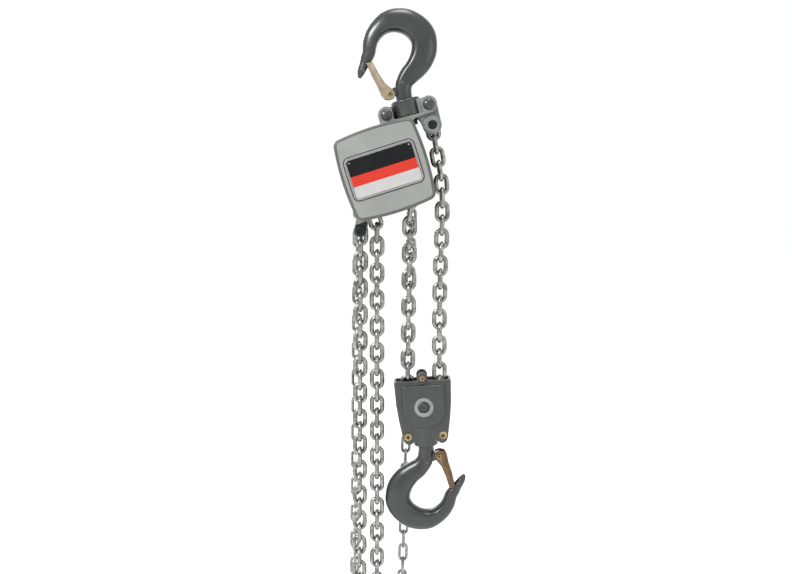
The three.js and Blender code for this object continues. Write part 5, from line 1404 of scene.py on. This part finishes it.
def makeWheelCover(s):
    outline = subdivided(roundedBox(s["halfWidth"], s["halfHeight"], s["corner"], 10), s["spacing"])
    back, wall = s["back"], s["wall"]
    # The back is dished in rings about its middle, and the walls run forward to a rolled lip
    turns = [math.atan2(z, x) for x, z in outline]
    outer = [[(radius * math.cos(a), back - down, radius * math.sin(a)) for a in turns]
             for radius, down in (
                 (2.0, s["dishDepth"]), (s["dish"] - 2, s["dishDepth"]), (s["dish"] + 1, 0.2),
                 (s["dish"] + 3, 0), (s["ringInner"] - 2, 0), (s["ringInner"], s["ringDepth"] * 0.8),
                 (s["ringInner"] + 2, s["ringDepth"]), (s["ringOuter"] - 2, s["ringDepth"]),
                 (s["ringOuter"], s["ringDepth"] * 0.8), (s["ringOuter"] + 2, 0))]
    outer.append([(x, back, z) for x, z in offsetOutline(outline, s["round"])])
    outer += [[(x, back - s["round"] * down, z) for x, z in offsetOutline(outline, s["round"] * out)]
              for out, down in quarterTurn(6, 1)]
    front = s["front"]
    for grow, y in ((0, front + s["lipDepth"] + 1.5), (-s["lip"], front + s["lipDepth"]),
                    (-s["lip"], front + 0.4), (-s["lip"] + 0.4, front), (wall - 0.3, front),
                    (wall, front + 0.3), (wall, back - s["round"]),
                    (wall + 2.0, back - wall - 1.6), (wall + 5.0, back - wall)):
        outer.append([(x, y, z) for x, z in offsetOutline(outline, grow)])
    cover = formObject("wheelCoverShell", loftedForm(outer), "body")
    half = s["mouthDepth"]
    near, far, beyond = s["plane"] - half, s["plane"] + half, -120
    tools = [boxForm(beyond, s["mouthRight"], near, far, beyond, s["mouthTop"], 2.0),
             boxForm(beyond, -s["halfWidth"] + 2 * wall, near, far, -s["halfWidth"], s["mouthLeft"], 2.0)]
    carved(cover, [formObject("mouth", tool, "body") for tool in tools])
    fitted(cover, "hoist_body", "wheelCoverPaint",
           ("hand_wheel_cover",), angle=38)
    profile = [(0, back - 0.15), (1.6, back - 0.15), (2.0, back - 0.2), (3.0, back - 0.9),
               (3.4, back - 1.9), (3.4, back - 3.0), (0, back - 3.0)]
    heads = [(turnedForm(profile, 24, "Y", x, z), 0) for x, z in s["screws"]]
    placed("wheelCoverScrews", combined(heads), "body", "machinedSteel", angle=38)


makeWheelCover(wheelCoverSettings)
print("hand wheel cover made")


# Inner parts that show through the mouths and gaps keep their CAD form, with their edges eased

innerSettings = {
    "idle_sheave": ("machinedSteel", 0.5), "load_sheave": ("machinedSteel", 0.5),
    "hand_wheel": ("castPaint", 0.6), "hand_wheel_nut": ("zincChain", 0.4),
    "top_hook_nut": ("blackSteel", 0.5), "bottom_hook_nut": ("blackSteel", 0.5),
    "ratchet_disc": ("blackSteel", 0.3), "brake_hub": ("machinedSteel", 0.4),
}


easeSettings = {"merge": 0.00002, "flatAngle": 1.0, "edgeAngle": 35, "segments": 2}
bodyOf = {n: body for body, nodes in frame["record"]["behaviour"]["bodies"].items() for n in nodes}
slotOf = {row["node"]: row["material_slot"] for row in frame["record"]["subparts"]}


def easedCopy(s, node, finish, ease):
    form = bmesh.new()
    form.from_mesh(cadNodes[node].data)
    bmesh.ops.remove_doubles(form, verts=form.verts, dist=s["merge"])
    bmesh.ops.dissolve_limit(form, angle_limit=math.radians(s["flatAngle"]), verts=form.verts,
                             edges=form.edges)
    mesh = bpy.data.meshes.new(node + "Eased")
    form.to_mesh(mesh)
    form.free()
    copy = bpy.data.objects.new(node + "Eased", mesh)
    bpy.context.scene.collection.objects.link(copy)
    bevel = copy.modifiers.new("ease", "BEVEL")
    bevel.width = ease * mm
    bevel.segments = s["segments"]
    bevel.limit_method = "ANGLE"
    bevel.angle_limit = math.radians(s["edgeAngle"])
    settled(copy)
    fitted(copy, bodyOf[node], finish, (node,), angle=40)


for node, (finish, ease) in innerSettings.items():
    easedCopy(easeSettings, node, finish, ease)
print("inner parts eased")


# Finishes of the CAD nodes that stay

nodeFinishes = {
    "cover_paint": "coverPaint", "dark_paint": "castPaint", "wheel_cover_paint": "wheelCoverPaint",
    "plate_paint": "platePaint", "label_face": "labelSilver", "zinc_chain": "zincChain",
    "brass_zinc": "yellowZinc", "top_latch_plate": "paleBrass", "bottom_latch_plate": "bronzePlate",
    "black_steel": "blackSteel", "machined_steel": "machinedSteel",
    "friction_lining": "frictionLining",
}


def finishNodes(names):
    for node, target in cadNodes.items():
        material = finishes[names[slotOf[node]]]
        if not target.material_slots:
            target.data.materials.append(material)
        for holder in target.material_slots:
            holder.material = material


finishNodes(nodeFinishes)
